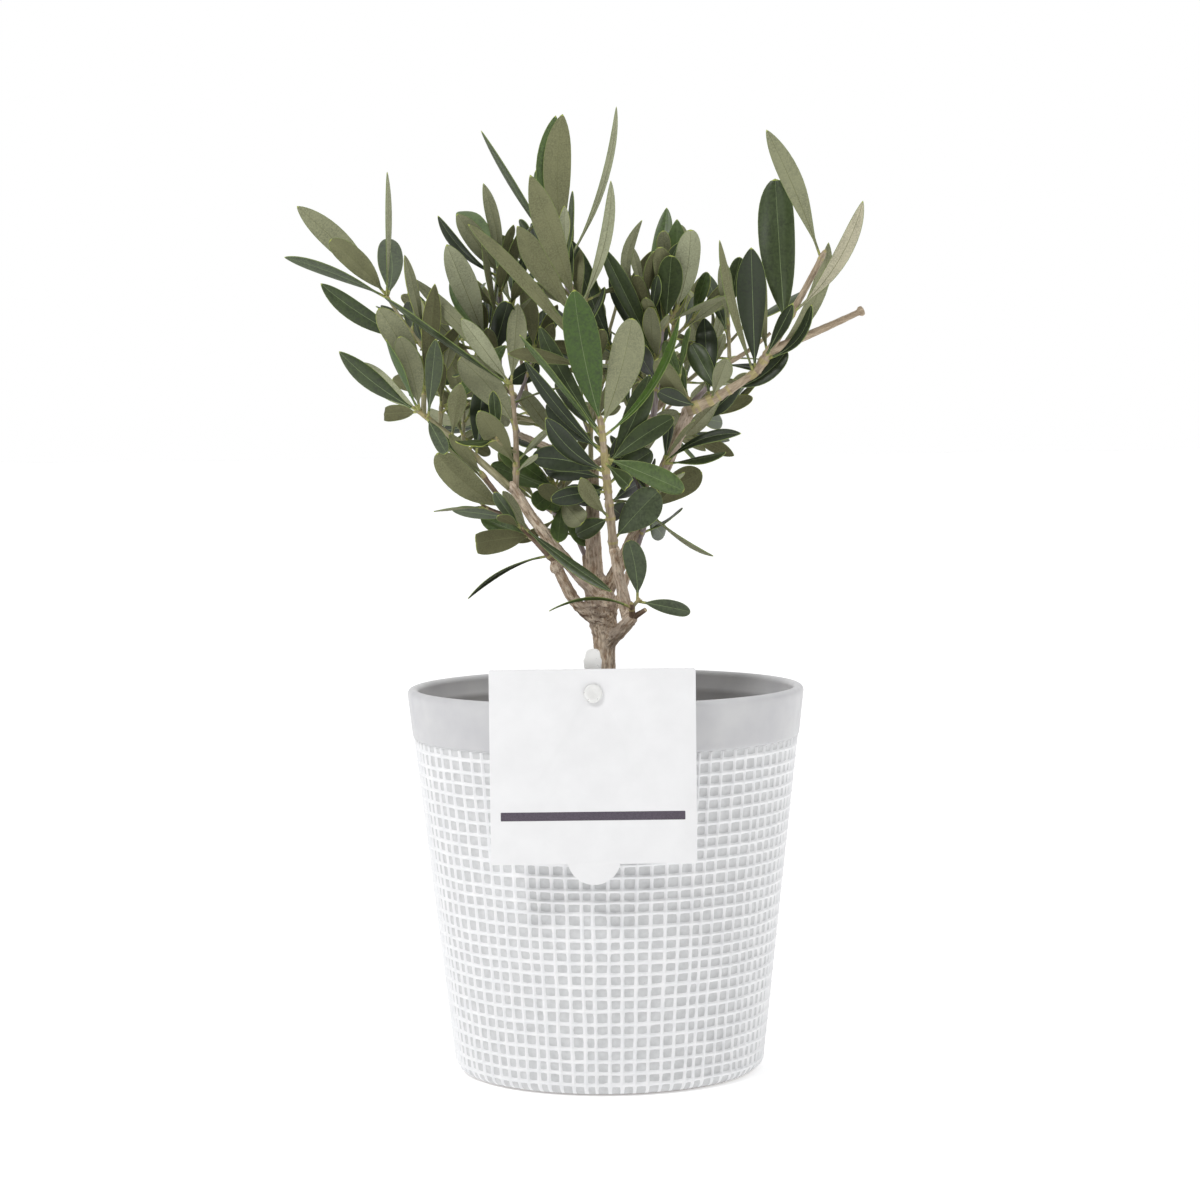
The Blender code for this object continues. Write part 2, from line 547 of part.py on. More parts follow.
def make_soil():
    floor = FLOOR_THICK + GAP
    edge = FLOOR_THICK + FLOOR_ROUND
    profile = [
        (0, floor),
        (inner_radius(edge) - FLOOR_ROUND, floor),
        (inner_radius(edge) - 2 * GAP, edge + GAP),
        (inner_radius(SOIL_TOP) - GAP, SOIL_TOP - 1),
        (inner_radius(SOIL_TOP) - 2, SOIL_TOP),
        (0, SOIL_TOP),
    ]
    look = finish("potting_soil", (0.035, 0.024, 0.017), 0.95)
    soil = turned("soil", profile, SOIL_SIDES, look)
    half = HOLDER_WIDE / 2 + GAP
    inward = HOLDER_FOOT_Y + HOLDER_THICK / 2 + GAP
    outline = [
        (PIN_X - half, HOLDER_FOOT - GAP),
        (PIN_X + half, HOLDER_FOOT - GAP),
        (PIN_X + half, SOIL_TOP + 5),
        (PIN_X - half, SOIL_TOP + 5),
    ]
    slit = plate("slit", outline, -RIM_RADIUS, inward, look)
    combine(soil, "DIFFERENCE", [slit])
    return soil


def make_card():
    left, right = CARD_CENTRE - CARD_WIDE / 2, CARD_CENTRE + CARD_WIDE / 2
    foot = CARD_TOP - CARD_TALL
    lug_centre = foot - LUG_DROP + LUG_RADIUS
    reach = math.degrees(math.asin((lug_centre - foot) / LUG_RADIUS))
    outline = [(left, CARD_TOP), (left, foot)]
    outline += arc((CARD_CENTRE, lug_centre), LUG_RADIUS, 180 + reach, 360 - reach, 14)
    outline += [(right, foot), (right, CARD_TOP)]
    look = finish("coated_card", (0.86, 0.86, 0.86), 0.5)
    card = plate("tag_card", outline, CARD_BACK - CARD_THICK, CARD_BACK, look)
    hole = arc((PIN_X, PIN_Z), PIN_RADIUS + GAP, 0, 360, 16)[:-1]
    punch = plate("punch", hole, CARD_BACK - 5, CARD_BACK + 5, look)
    combine(card, "DIFFERENCE", [punch])
    return card


def make_holder():
    """A clear strip that leans along the pot's wall, with a pin that carries the card."""
    half = HOLDER_WIDE / 2
    look = finish("clear_plastic", (0.90, 0.92, 0.93), 0.12, 0.9)
    outline = [(PIN_X + half, HOLDER_FOOT)]
    outline += arc((PIN_X, HOLDER_TOP - half), half, 0, 180, 10)
    outline.append((PIN_X - half, HOLDER_FOOT))
    strip = plate("tag_holder", outline, -HOLDER_THICK / 2, HOLDER_THICK / 2, look)
    for vert in strip.data.vertices:
        vert.co.y += (HOLDER_FOOT_Y - WALL_RISE * (vert.co.z / MM - HOLDER_FOOT)) * MM
    shank_back = HOLDER_FOOT_Y - WALL_RISE * (PIN_Z - HOLDER_FOOT)
    front = CARD_BACK - CARD_THICK - GAP
    shank = plate("shank", arc((PIN_X, PIN_Z), PIN_RADIUS, 0, 360, 14)[:-1], front - 0.2, shank_back, look)
    head_ring = arc((PIN_X, PIN_Z), PIN_HEAD_RADIUS, 0, 360, 14)[:-1]
    head = plate("head", head_ring, front - PIN_HEAD_THICK, front, look)
    combine(strip, "UNION", [shank, head])
    return strip


def bent(start, end, bow):
    """A smooth curve from start to end that sags by bow of its length: point and direction at t."""
    chord = end - start
    middle = start + chord / 2
    if isinstance(bow, tuple):
        middle += Vector(bow)
    else:
        middle += (chord * (UP.dot(chord) / chord.length_squared) - UP) * (bow * chord.length)

    def at(t):
        point = start * (1 - t) ** 2 + middle * (2 * t * (1 - t)) + end * t**2
        way = (middle - start) * (1 - t) + (end - middle) * t
        return point, way.normalized()

    return at


def loft(rings, sides):
    """A closed tube through rings of (point, direction, radius), with flat ends."""
    verts, faces = [], []
    side = rings[0][1].orthogonal().normalized()
    for point, way, radius in rings:
        side = (side - way * side.dot(way)).normalized()
        other = way.cross(side)
        for j in range(sides):
            a = math.tau * j / sides
            verts.append(point + (side * math.cos(a) + other * math.sin(a)) * radius)
    for k in range(len(rings) - 1):
        for j in range(sides):
            a, b = k * sides + j, k * sides + (j + 1) % sides
            faces.append((a, b, b + sides, a + sides))
    last = (len(rings) - 1) * sides
    faces.append(tuple(range(sides - 1, -1, -1)))
    faces.append(tuple(range(last, last + sides)))
    return verts, faces


def tube(path, start_radius, end_radius, sides, steps):
    rings = []
    for k in range(steps + 1):
        point, way = path(k / steps)
        rings.append((point, way, start_radius + (end_radius - start_radius) * k / steps))
    return loft(rings, sides)


def trunk_centre(z):
    """The trunk's axis at a height."""
    for low, high in zip(TRUNK, TRUNK[1:]):
        if low[2] <= z <= high[2]:
            t = (z - low[2]) / (high[2] - low[2])
            return Vector(low[:3]).lerp(Vector(high[:3]), t)
    return Vector(TRUNK[-1][:3])


def trunk_solids():
    """The trunk and the stubs that it forks into, as vertices and faces."""
    points = [Vector(station[:3]) for station in TRUNK]
    rings = []
    for k, station in enumerate(TRUNK):
        way = UP if k == 0 else (points[min(k + 1, len(points) - 1)] - points[k - 1]).normalized()
        rings.append((points[k], way, station[3]))
    solids = [loft(rings, TRUNK_SIDES)]
    for bough in BOUGHS.values():
        if "on" in bough:
            continue
        start, way = bent(Vector(bough["from"]), Vector(bough["to"]), bough["bow"])(0)
        root = trunk_centre(min(max(start.z - STUB_DROP, STUB_LOW), STUB_HIGH))
        end = start - way * GAP
        turn = end - way * (end - root).length * 0.5
        path = bent(root, end, tuple(turn - (root + end) / 2))
        radius = bough["thick"][0] / 2
        solids.append(tube(path, radius * STUB_SWELL, radius, LIMB_SIDES, STUB_STEPS))
    return solids


class Leaf:
    """A leaf from its root to its tip. Its face is the direction that its upper side looks in."""

    def __init__(self, root, tip, face, wide, sag=0.0, sweep=0.0):
        self.root, self.tip, self.face, self.wide = root, tip, face, wide
        way = (tip - root).normalized()
        left = way.cross(AWAY)
        left = left.normalized() * sweep if left.length > 0.1 else Vector()
        self.bend = (left - face * sag) * (tip - root).length

    def rib(self, t):
        return self.root.lerp(self.tip, t) + self.bend * (4 * t * (1 - t))

    def points(self, start, more):
        """A point on the rib, the rim from there round the tip, and a crown on each side."""
        side = (self.tip - self.root).normalized().cross(self.face).normalized()
        half = (self.wide + more) / 2
        crown = self.face * ((LEAF_THICK + more) / 2)
        low, high = side * half * LEAF_LOW_WIDE, side * half * LEAF_HIGH_WIDE
        rim = [self.rib(LEAF_LOW) + low, self.rib(LEAF_HIGH) + high, self.rib(1)]
        rim += [self.rib(LEAF_HIGH) - high, self.rib(LEAF_LOW) - low]
        return [self.rib(start), *rim, self.rib(LEAF_CROWN) + crown, self.rib(LEAF_CROWN) - crown]

    def shape(self):
        """The faceted blade, with its stalk standing on edge at the root."""
        root, *others = self.points(0.0, 0.0)
        stalk = self.face * (STALK_THICK / 2)
        faces = [(0, 1, 2), (1, 0, 6), (0, 2, 7), (6, 0, 7), (2, 1, 8), (1, 6, 8)]
        for a in range(2, 6):
            faces += [(a, a + 1, 7), (a + 1, a, 8)]
        return [root + stalk, root - stalk, *others], faces

    def room(self):
        """The space round the blade, past its stalk, that nothing else may enter."""
        faces = []
        for a in range(6):
            b = (a + 1) % 6
            faces += [(a, b, 6), (b, a, 7)]
        return self.points(LEAF_STALK, LEAF_CLEAR), faces


def front_face(way, turn):
    """The upper side's direction, away from the front at a turn of 0 and turned about the leaf's way."""
    face = AWAY - way * AWAY.dot(way)
    if face.length < 0.2:
        face = UP - way * UP.dot(way)
    return Matrix.Rotation(math.radians(turn), 3, way) @ face.normalized()


def seen(point):
    """Where a point shows from the eye, as x and z in the plane through the pot's axis."""
    near = EYE[1] / (EYE[1] + point.y)
    return EYE[0] + (point.x - EYE[0]) * near, EYE[2] + (point.z - EYE[2]) * near


def skyline(x):
    for (a, low), (b, high) in zip(SKYLINE, SKYLINE[1:]):
        if a <= x < b:
            return low + (high - low) * (x - a) / (b - a)
    return 0


def in_the_open(leaf):
    """Whether a leaf would stand over the skyline or in a gap."""
    for t, part in ((0.35, 0.4), (0.6, 0.4), (0.8, 0.4), (1.0, 0.0)):
        x, z = seen(leaf.rib(t))
        if z > skyline(x):
            return True
        for gap_x, gap_z, radius in GAPS:
            if math.hypot(x - gap_x, z - gap_z) < radius + leaf.wide * part:
                return True
    return False


class Crown:
    """Grows the limbs, shoots and leaves, and keeps each clear of all that grew before it."""

    def __init__(self):
        self.grown = []
        self.limbs = {}
        self.shoots = {}
        self.leaves = {}
        self.trunk = trunk_solids()
        for shape in self.trunk:
            self.keep("trunk", 0, shape)
        for name, bough in BOUGHS.items():
            path = bent(Vector(bough["from"]), Vector(bough["to"]), bough["bow"])
            thick, thin = bough["thick"]
            shape = tube(path, thick / 2, thin / 2, LIMB_SIDES, LIMB_STEPS)
            self.limbs[name] = path, thin / 2, shape
            self.keep(name, 0, shape)
        for name in MASSES:
            self.grow_shoots(name)
        for name in MASSES:
            self.grow_named_leaves(name)
        for name in MASSES:
            self.grow_pairs(name)

    def keep(self, owner, mark, shape, room=None):
        """Notes what grew, with the space that it wants round it."""
        whole = BVHTree.FromPolygons(*shape)
        self.grown.append((owner, mark, whole, BVHTree.FromPolygons(*room) if room else whole))

    def is_clear(self, name, leaf, near):
        """Whether a leaf is clear of all but its near shoots. Stalks may cross within their own mass."""
        whole, room = BVHTree.FromPolygons(*leaf.shape()), BVHTree.FromPolygons(*leaf.room())
        for owner, mark, other_whole, other_room in self.grown:
            if owner == name:
                if mark not in near and room.overlap(other_room):
                    return False
            elif room.overlap(other_whole) or whole.overlap(other_whole) or whole.overlap(other_room):
                return False
        return True

    def grow_shoots(self, name):
        mass = MASSES[name]
        shoots = []
        for n, row in enumerate(mass["shoots"]):
            on, at, tip, thick = row[0], row[1], Vector(row[2]), row[7]
            if n == 0:
                point, way = self.limbs[mass["bough"]][0](1)
                slant = (tip - point).normalized()
                slant = (slant - way * slant.dot(way)).length
                start = point + way * (GAP + thick / 2 * slant) + Vector(mass.get("aside", (0, 0, 0)))
                sag = mass.get("bow", 0.06)
            else:
                start = shoots[on][0](at)[0]
                sag = row[8] if len(row) > 8 else 0.08
            path = bent(start, tip, sag)
            thin = max(TWIG_TIP, thick / 2 * TWIG_TAPER)
            shape = tube(path, thick / 2, thin, TWIG_SIDES, TWIG_STEPS)
            shoots.append((path, thick / 2, shape))
            self.keep(name, n, shape)
        self.shoots[name] = shoots
        self.leaves[name] = []

    def near_shoots(self, name, n):
        """The shoot that a leaf grows on, and those that fork from it or that it forks from."""
        rows = MASSES[name]["shoots"]
        return {k for k, row in enumerate(rows) if k in (n, rows[n][0]) or row[0] == n}

    def add_leaf(self, name, leaf):
        self.leaves[name].append(leaf)
        self.keep(name, "leaf", leaf.shape(), leaf.room())

    def grow_named_leaves(self, name):
        for k, row in enumerate(MASSES[name]["leaves"]):
            on, at, tip, wide, turn, sag = row[:6]
            sweep = row[6] if len(row) > 6 else 0.0
            root = self.shoots[name][on][0](min(at, 0.97))[0]
            for back, more in NUDGES:
                end = Vector(tip) + AWAY * (back + DEPTH_STEPS[k % len(DEPTH_STEPS)])
                face = front_face((end - root).normalized(), turn + more)
                leaf = Leaf(root, end, face, wide, sag, sweep)
                if self.is_clear(name, leaf, self.near_shoots(name, on)):
                    self.add_leaf(name, leaf)
                    break

    def grow_pairs(self, name):
        mass = MASSES[name]
        rng = random.Random(mass["seed"])
        for n, row in enumerate(mass["shoots"]):
            pairs = row[3]
            for k in range(pairs):
                t = PAIRS_TO if pairs == 1 else PAIRS_FROM + (PAIRS_TO - PAIRS_FROM) * k / (pairs - 1)
                for sign in (1, -1):
                    self.grow_leaf(name, n, t, pairs - 1 - k, sign, rng)

    def grow_leaf(self, name, n, t, below, sign, rng):
        """Tries for one leaf of a pair, looser each time. Below counts the pairs between it and the tip."""
        mass = MASSES[name]
        length, turn, opening = mass["shoots"][n][4:7]
        centre, reach = Vector(mass["space"][0]), Vector(mass["space"][1])
        point, way = self.shoots[name][n][0](t)
        right = Vector((1, 0, 0)) - way * way.x
        if right.length < 0.3:
            right = UP - way * way.z
        for loose in range(1, LEAF_TRIES + 1):
            around = turn + 90 * below + rng.uniform(-8, 8) * loose
            out = Matrix.Rotation(math.radians(around), 3, way) @ right.normalized() * sign
            open_by = math.radians(min(62, opening + 12 * below) + rng.uniform(-5, 5) * loose)
            go = (way * math.cos(open_by) + out * math.sin(open_by) + UP * 0.12).normalized()
            size = length * (1 - 0.12 * min(below, 2.5)) * rng.uniform(0.86, 1.12)
            face = (way - go * way.dot(go)).normalized()
            face = Matrix.Rotation(math.radians(rng.uniform(-22, 22)), 3, go) @ face
            wide = size * rng.uniform(LEAF_SLIM, LEAF_BROAD)
            leaf = Leaf(point, point + go * size, face, wide, rng.uniform(-0.05, 0.07))
            off = leaf.tip - centre
            if sum((off[i] / reach[i]) ** 2 for i in range(3)) > 1 or in_the_open(leaf):
                continue
            if self.is_clear(name, leaf, self.near_shoots(name, n)):
                self.add_leaf(name, leaf)
                return


def make_tree():
    crown = Crown()
    bark = finish("bark", (0.20, 0.16, 0.125), 0.8)
    trunk = solid("trunk", *crown.trunk[0], bark, smooth=True)
    stubs = [solid(f"stub_{k}", *shape, bark, smooth=True) for k, shape in enumerate(crown.trunk[1:])]
    combine(trunk, "UNION", stubs)
    for name, (path, radius, shape) in crown.limbs.items():
        solid(name, *shape, finish(f"{name}_bark", (0.22, 0.18, 0.15), 0.8), smooth=True)
    for name in MASSES:
        look = finish(f"{name}_green", (0.065, 0.085, 0.045), 0.5)
        stem, *others = [shape for path, radius, shape in crown.shoots[name]]
        parts = [solid(f"{name}_twig_{k}", *shape, look) for k, shape in enumerate(others)]
        parts += [solid(f"{name}_leaf_{k}", *leaf.shape(), look) for k, leaf in enumerate(crown.leaves[name])]
        combine(solid(name, *stem, look), "UNION", parts)
    return crown


def main():
    clear_scene()
    make_pot()
    make_soil()
    make_card()
    make_holder()
    return make_tree()


if __name__ == "__main__":
    main()
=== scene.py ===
import math
import random

import bmesh
import bpy
from mathutils import Matrix, Vector, noise
from mathutils.bvhtree import BVHTree
from mathutils.kdtree import KDTree


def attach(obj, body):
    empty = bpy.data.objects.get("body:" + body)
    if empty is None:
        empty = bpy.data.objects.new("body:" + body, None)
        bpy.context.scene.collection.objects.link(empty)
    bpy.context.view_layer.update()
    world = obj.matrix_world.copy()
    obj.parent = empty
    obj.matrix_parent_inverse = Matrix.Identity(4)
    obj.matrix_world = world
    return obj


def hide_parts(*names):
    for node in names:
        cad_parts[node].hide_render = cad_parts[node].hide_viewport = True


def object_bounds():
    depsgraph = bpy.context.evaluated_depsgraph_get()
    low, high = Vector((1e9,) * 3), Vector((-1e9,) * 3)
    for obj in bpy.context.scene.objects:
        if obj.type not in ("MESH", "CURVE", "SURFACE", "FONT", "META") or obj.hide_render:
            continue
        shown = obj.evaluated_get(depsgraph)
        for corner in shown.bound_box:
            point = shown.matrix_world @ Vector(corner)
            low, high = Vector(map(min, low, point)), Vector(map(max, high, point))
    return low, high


# A young olive tree with a short open crown, in a small stoneware pot with a plain card tag.
# Sizes are in millimetres until a mesh is made, in metres: x to the right, y to the back and z up.
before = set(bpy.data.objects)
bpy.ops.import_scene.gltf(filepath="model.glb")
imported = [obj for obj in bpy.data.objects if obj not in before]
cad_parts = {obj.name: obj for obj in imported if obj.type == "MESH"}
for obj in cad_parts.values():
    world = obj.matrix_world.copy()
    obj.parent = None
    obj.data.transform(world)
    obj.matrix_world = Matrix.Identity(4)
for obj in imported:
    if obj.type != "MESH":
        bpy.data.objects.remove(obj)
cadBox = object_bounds()
mm = 0.001
up = Vector((0, 0, 1))
away = Vector((0, 1, 0))


def addObject(name, data):
    thing = bpy.data.objects.new(name, data)
    bpy.context.scene.collection.objects.link(thing)
    return thing


# The camera stands where the photograph was taken from, and looks a little down.
lens = {"place": (-1.5, -1099.7, 225.9), "down": 3.723, "roll": -0.644, "focal": 100.74, "sensor": 36.0}


def makeCamera():
    data = bpy.data.cameras.new("viewCamera")
    data.lens, data.sensor_width = lens["focal"], lens["sensor"]
    data.clip_start, data.clip_end = 0.05, 60
    down, roll = math.radians(lens["down"]), math.radians(lens["roll"])
    ahead = Vector((0, math.cos(down), -math.sin(down)))
    top, right = Vector((0, math.sin(down), math.cos(down))), Vector((1, 0, 0))
    right, top = right * math.cos(roll) + top * math.sin(roll), top * math.cos(roll) - right * math.sin(roll)
    camera = addObject("viewCamera", data)
    turn = Matrix((right, top, -ahead)).transposed().to_4x4()
    camera.matrix_world = Matrix.Translation(Vector(lens["place"]) * mm) @ turn
    bpy.context.scene.camera = camera


# A white studio: bright behind and above, dimmer in front, with a broad light high on the left.
studio = {
    "back": 1.0, "front": 0.30, "turnFrom": -0.75, "turnTo": 0.35,
    "floorSize": 9.0, "floor": "#f0f0f0", "floorGlow": 0.36, "aim": (0, 0, 0.18),
    # each lamp's place, size and power
    "lamps": {"keyLight": ((-1.0, -1.3, 2.0), 0.5, 27), "fillLight": ((1.5, -0.9, 1.1), 1.2, 4)},
}


def toLinear(value):
    # an sRGB hex value as the linear colour that a shader takes
    parts = [int(value[k:k + 2], 16) / 255 for k in (1, 3, 5)]
    return (*[c / 12.92 if c <= 0.04045 else ((c + 0.055) / 1.055) ** 2.4 for c in parts], 1.0)


def addNode(material, kind, settings=None, links=None):
    # adds a node, sets its inputs or its own settings by name, and links (node, output) into its inputs
    node = material.node_tree.nodes.new("ShaderNode" + kind)
    for name, value in (settings or {}).items():
        if name in node.inputs:
            node.inputs[name].default_value = value
        else:
            setattr(node, name, value)
    for name, (source, output) in (links or {}).items():
        material.node_tree.links.new(source.outputs[output], node.inputs[name])
    return node


def newFinish(name, colour, roughness, ior=1.5, **more):
    material = bpy.data.materials.new(name)
    material.use_nodes = True
    shader = material.node_tree.nodes["Principled BSDF"]
    shader.inputs["Base Color"].default_value = toLinear(colour)
    shader.inputs["Roughness"].default_value = roughness
    shader.inputs["IOR"].default_value = ior
    for key, value in more.items():
        shader.inputs[key].default_value = value
    material.diffuse_color = toLinear(colour)
    return material, shader


def feed(material, shader, socket, source, output):
    material.node_tree.links.new(source.outputs[output], shader.inputs[socket])


def noiseAt(material, size, detail=3.0, stretch=None, coords="Object", rough=0.55):
    # noise whose features are size millimetres wide; stretch makes them longer along an axis
    # an attribute's places are in millimetres, the object's in metres
    if coords == "Object":
        place, unit = (addNode(material, "TexCoord"), "Object"), 1 / mm
    else:
        place, unit = (addNode(material, "Attribute", {"attribute_name": coords}), "Vector"), 1.0
    if stretch:
        place = (addNode(material, "Mapping", {"Scale": stretch}, {"Vector": place}), "Vector")
    settings = {"Scale": unit / size, "Detail": detail, "Roughness": rough}
    return addNode(material, "TexNoise", settings, {"Vector": place})


def spread(material, source, low, high, fromLow=0.3, fromHigh=0.7, output="Fac"):
    # maps a pattern's values to low and high
    settings = {"From Min": fromLow, "From Max": fromHigh, "To Min": low, "To Max": high}
    return addNode(material, "MapRange", settings, {"Value": (source, output)})


def mixColours(material, first, second, factor):
    # two colours, or earlier mixes, by a factor's node
    node = addNode(material, "MixRGB", {}, {"Fac": (factor, "Result")})
    for name, value in (("Color1", first), ("Color2", second)):
        if isinstance(value, str):
            node.inputs[name].default_value = toLinear(value)
        else:
            material.node_tree.links.new(value.outputs["Color"], node.inputs[name])
    return node


def addBump(material, shader, source, height):
    # height is the relief's depth in millimetres
    bump = addNode(material, "Bump", {"Distance": height * mm}, {"Height": (source, "Fac")})
    feed(material, shader, "Normal", bump, "Normal")


def tintBy(material, shader, first, second, pattern, low=0.0, high=1.0, fromLow=0.3, fromHigh=0.7):
    # the base colour runs from one colour, or an earlier mix, to another by a pattern
    tint = mixColours(material, first, second, spread(material, pattern, low, high, fromLow, fromHigh))
    feed(material, shader, "Base Color", tint, "Color")


def glossBy(material, shader, pattern, low, high):
    feed(material, shader, "Roughness", spread(material, pattern, low, high), "Result")


def makeStudio():
    world = bpy.data.worlds.new("studioWhite")
    world.use_nodes = True
    # the sky's strength falls off from behind the plant to in front of it
    way = addNode(world, "SeparateXYZ", {}, {"Vector": (addNode(world, "TexCoord"), "Generated")})
    settings = {"interpolation_type": "SMOOTHSTEP",
                "From Min": studio["turnFrom"], "From Max": studio["turnTo"],
                "To Min": studio["front"], "To Max": studio["back"]}
    fall = addNode(world, "MapRange", settings, {"Value": (way, "Y")})
    feed(world, world.node_tree.nodes["Background"], "Color", fall, "Result")
    bpy.context.scene.world = world
    bpy.context.scene.view_settings.view_transform = "Standard"
    for name, (place, size, power) in studio["lamps"].items():
        data = bpy.data.lights.new(name, "AREA")
        data.energy, data.size = power, size
        lamp = addObject(name, data)
        lamp.location = place
        lamp.rotation_euler = (Vector(studio["aim"]) - lamp.location).to_track_quat("-Z", "Y").to_euler()
    size = studio["floorSize"]
    mesh = bpy.data.meshes.new("studioFloor")
    corners = [(-size, -size, 0), (size, -size, 0), (size, size, 0), (-size, size, 0)]
    mesh.from_pydata(corners, [], [(0, 1, 2, 3)])
    # painted board: matt, with a faint mottle that softens its sheen
    material, shader = newFinish("paintedBoard", studio["floor"], 0.7)
    glossBy(material, shader, noiseAt(material, 40), 0.62, 0.8)
    shader.inputs["Emission Color"].default_value = (1, 1, 1, 1)
    shader.inputs["Emission Strength"].default_value = studio["floorGlow"]
    mesh.materials.append(material)
    floor = addObject("studioFloor", mesh)


makeCamera()
makeStudio()
print("camera, floor and lights are set")


def layAlong(mesh, coords):
    # a point attribute that a pattern is laid by
    layer = mesh.attributes.new("along", "FLOAT_VECTOR", "POINT")
    layer.data.foreach_set("vector", [c for row in coords for c in row])


def pieceFrom(name, verts, faces, slots, materials, coords=None):
    # a smooth mesh object from millimetre points
    mesh = bpy.data.meshes.new(name)
    mesh.from_pydata([(v[0] * mm, v[1] * mm, v[2] * mm) for v in verts], [], faces)
    for material in materials:
        mesh.materials.append(material)
    if slots:
        mesh.polygons.foreach_set("material_index", slots)
    if coords:
        layAlong(mesh, coords)
    mesh.shade_smooth()
    mesh.update()
    return addObject(name, mesh)


def quads(rows, sides, base=0):
    # the faces between rings of points that follow each other
    starts = range(base, base + (rows - 1) * sides, sides)
    pairs = [(start + k, start + (k + 1) % sides) for start in starts for k in range(sides)]
    return [(a, b, b + sides, a + sides) for a, b in pairs]


def closedRings(rings, first, last):
    # a closed surface from one point, through rings of as many points each, to another point
    sides = len(rings[0])
    verts = [first, *(v for ring in rings for v in ring), last]
    end = len(verts) - 1
    faces = [(0, 1 + (k + 1) % sides, 1 + k) for k in range(sides)] + quads(len(rings), sides, 1)
    faces += [(end - sides + k, end - sides + (k + 1) % sides, end) for k in range(sides)]
    return verts, faces


def circle(radius, height, sides, turn=0.0):
    angles = [math.tau * (k + turn) / sides for k in range(sides)]
    return [(radius * math.cos(a), radius * math.sin(a), height) for a in angles]


def joinShapes(shapes):
    verts, faces = [], []
    for shapeVerts, shapeFaces in shapes:
        base = len(verts)
        verts += shapeVerts
        faces += [tuple(base + i for i in face) for face in shapeFaces]
    return verts, faces


def ball(centre, radius, steps=2):
    bm = bmesh.new()
    bmesh.ops.create_icosphere(bm, subdivisions=steps, radius=radius)
    shape = [Vector(centre) + v.co for v in bm.verts], [tuple(v.index for v in f.verts) for f in bm.faces]
    bm.free()
    return shape


def settle(piece, slot, *nodes):
    # a piece that rides with the one body and stands for these solids
    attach(piece, "root")
    if nodes:
        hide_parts(*nodes)


def arc(centre, radius, start, end, steps):
    angles = [math.radians(start + (end - start) * k / steps) for k in range(steps + 1)]
    return [(centre[0] + radius * math.cos(a), centre[1] + radius * math.sin(a)) for a in angles]


def mixed(a, b, t):
    return a + (b - a) * t


# The pot, thrown in stoneware: slip lines trailed over a grey glaze, a plain glazed band and a bare inside.
pot = {
    "height": 126.2, "footRound": 4.2, "footRadius": 50.9, "footFlat": 30, "rimRadius": 65.0, "rimRound": 1.7,
    "mouthRadius": 61.45, "bandHeight": 15.8, "bandProud": 0.45, "bandGap": 0.75, "floor": 6.0,
    "floorRound": 5.0, "ridgeDrop": 6.5, "ridgeProud": 0.35, "ridgeReach": 0.9, "glazedTo": 109,
    "columns": 84, "rows": 27, "lowLine": 3.9, "lineWide": 1.15, "proud": 0.12, "sunk": 0.40,
    # how far lines, widths and heights stray from even, and how much higher the lines rise where they cross
    "uneven": 0.14, "rowUneven": 0.09, "wander": 0.30, "columnSwell": 0.34, "rowSwell": 0.30,
    "crossRise": 0.22, "knotRise": 0.12, "cornerIn": 0.12, "wave": 0.05, "drips": (0.7, 2.3), "seed": 5,
    # heights of the rings under the lowest line, which end the glaze, and the line's hump over its six points
    "footRings": (0.15, 0.6, 1.3, 2.0), "footBare": 0.5, "humps": (0.0, 0.80, 1.0, 0.80, 0.0, 0.0),
}
pot["rise"] = (pot["rimRadius"] - pot["bandProud"] - pot["footRadius"]) / (
    pot["height"] - pot["rimRound"] - pot["footRound"])


def wallRadius(z):
    # the outside below the band, rounded in under the foot
    if z < pot["footRound"]:
        off = pot["footRound"] - max(z, 0)
        return pot["footRadius"] - pot["footRound"] + math.sqrt(pot["footRound"] ** 2 - off**2)
    return pot["footRadius"] + pot["rise"] * (z - pot["footRound"])


def innerRadius(z):
    return pot["mouthRadius"] - pot["rise"] * (pot["height"] - pot["rimRound"] - z)


def stonewareFinishes():
    # white slip under a clear glaze: bright, softly glossy, with a faint waviness from the trailing
    slip, shader = newFinish("whiteSlipGlaze", "#e9eaeb", 0.34)
    wave = noiseAt(slip, 1.1, 2.0)
    glossBy(slip, shader, wave, 0.28, 0.44)
    tintBy(slip, shader, "#e5e6e8", "#eeeeef", noiseAt(slip, 5.0))
    addBump(slip, shader, wave, 0.05)
    # grey glaze pooled between the lines: flat, a little mottled, with fine dark iron specks
    pool, shader = newFinish("greyGlaze", "#cacbcc", 0.4)
    mottle = mixColours(pool, "#c0c1c2", "#d0d1d2", spread(pool, noiseAt(pool, 2.6, 4.0), 0.0, 1.0))
    tintBy(pool, shader, mottle, "#a09c97", noiseAt(pool, 0.35, 1.0), 0.0, 0.5, 0.72, 0.80)
    addBump(pool, shader, noiseAt(pool, 0.8, 2.0), 0.04)
    # the band and lip: one smooth coat of pale glaze, satin, with slow throwing rings under it
    band, shader = newFinish("paleSatinGlaze", "#c2c2c4", 0.36)
    tintBy(band, shader, "#bcbcbf", "#c7c7c8", noiseAt(band, 14.0))
    glossBy(band, shader, noiseAt(band, 4.0), 0.30, 0.44)
    addBump(band, shader, noiseAt(band, 2.2, 1.0, (0.04, 0.04, 1.0)), 0.05)
    # the inside and the foot: bare fired clay, matt and sandy
    clay, shader = newFinish("bareStoneware", "#b5b1ae", 0.82)
    sand = noiseAt(clay, 0.6, 3.0)
    tintBy(clay, shader, "#a8a4a1", "#c0bdbb", sand)
    addBump(clay, shader, sand, 0.09)
    return [slip, pool, band, clay]


def wobble(a, b, seed):
    return noise.noise(Vector((a * 0.13 + seed, b * 0.13, seed * 1.7)))


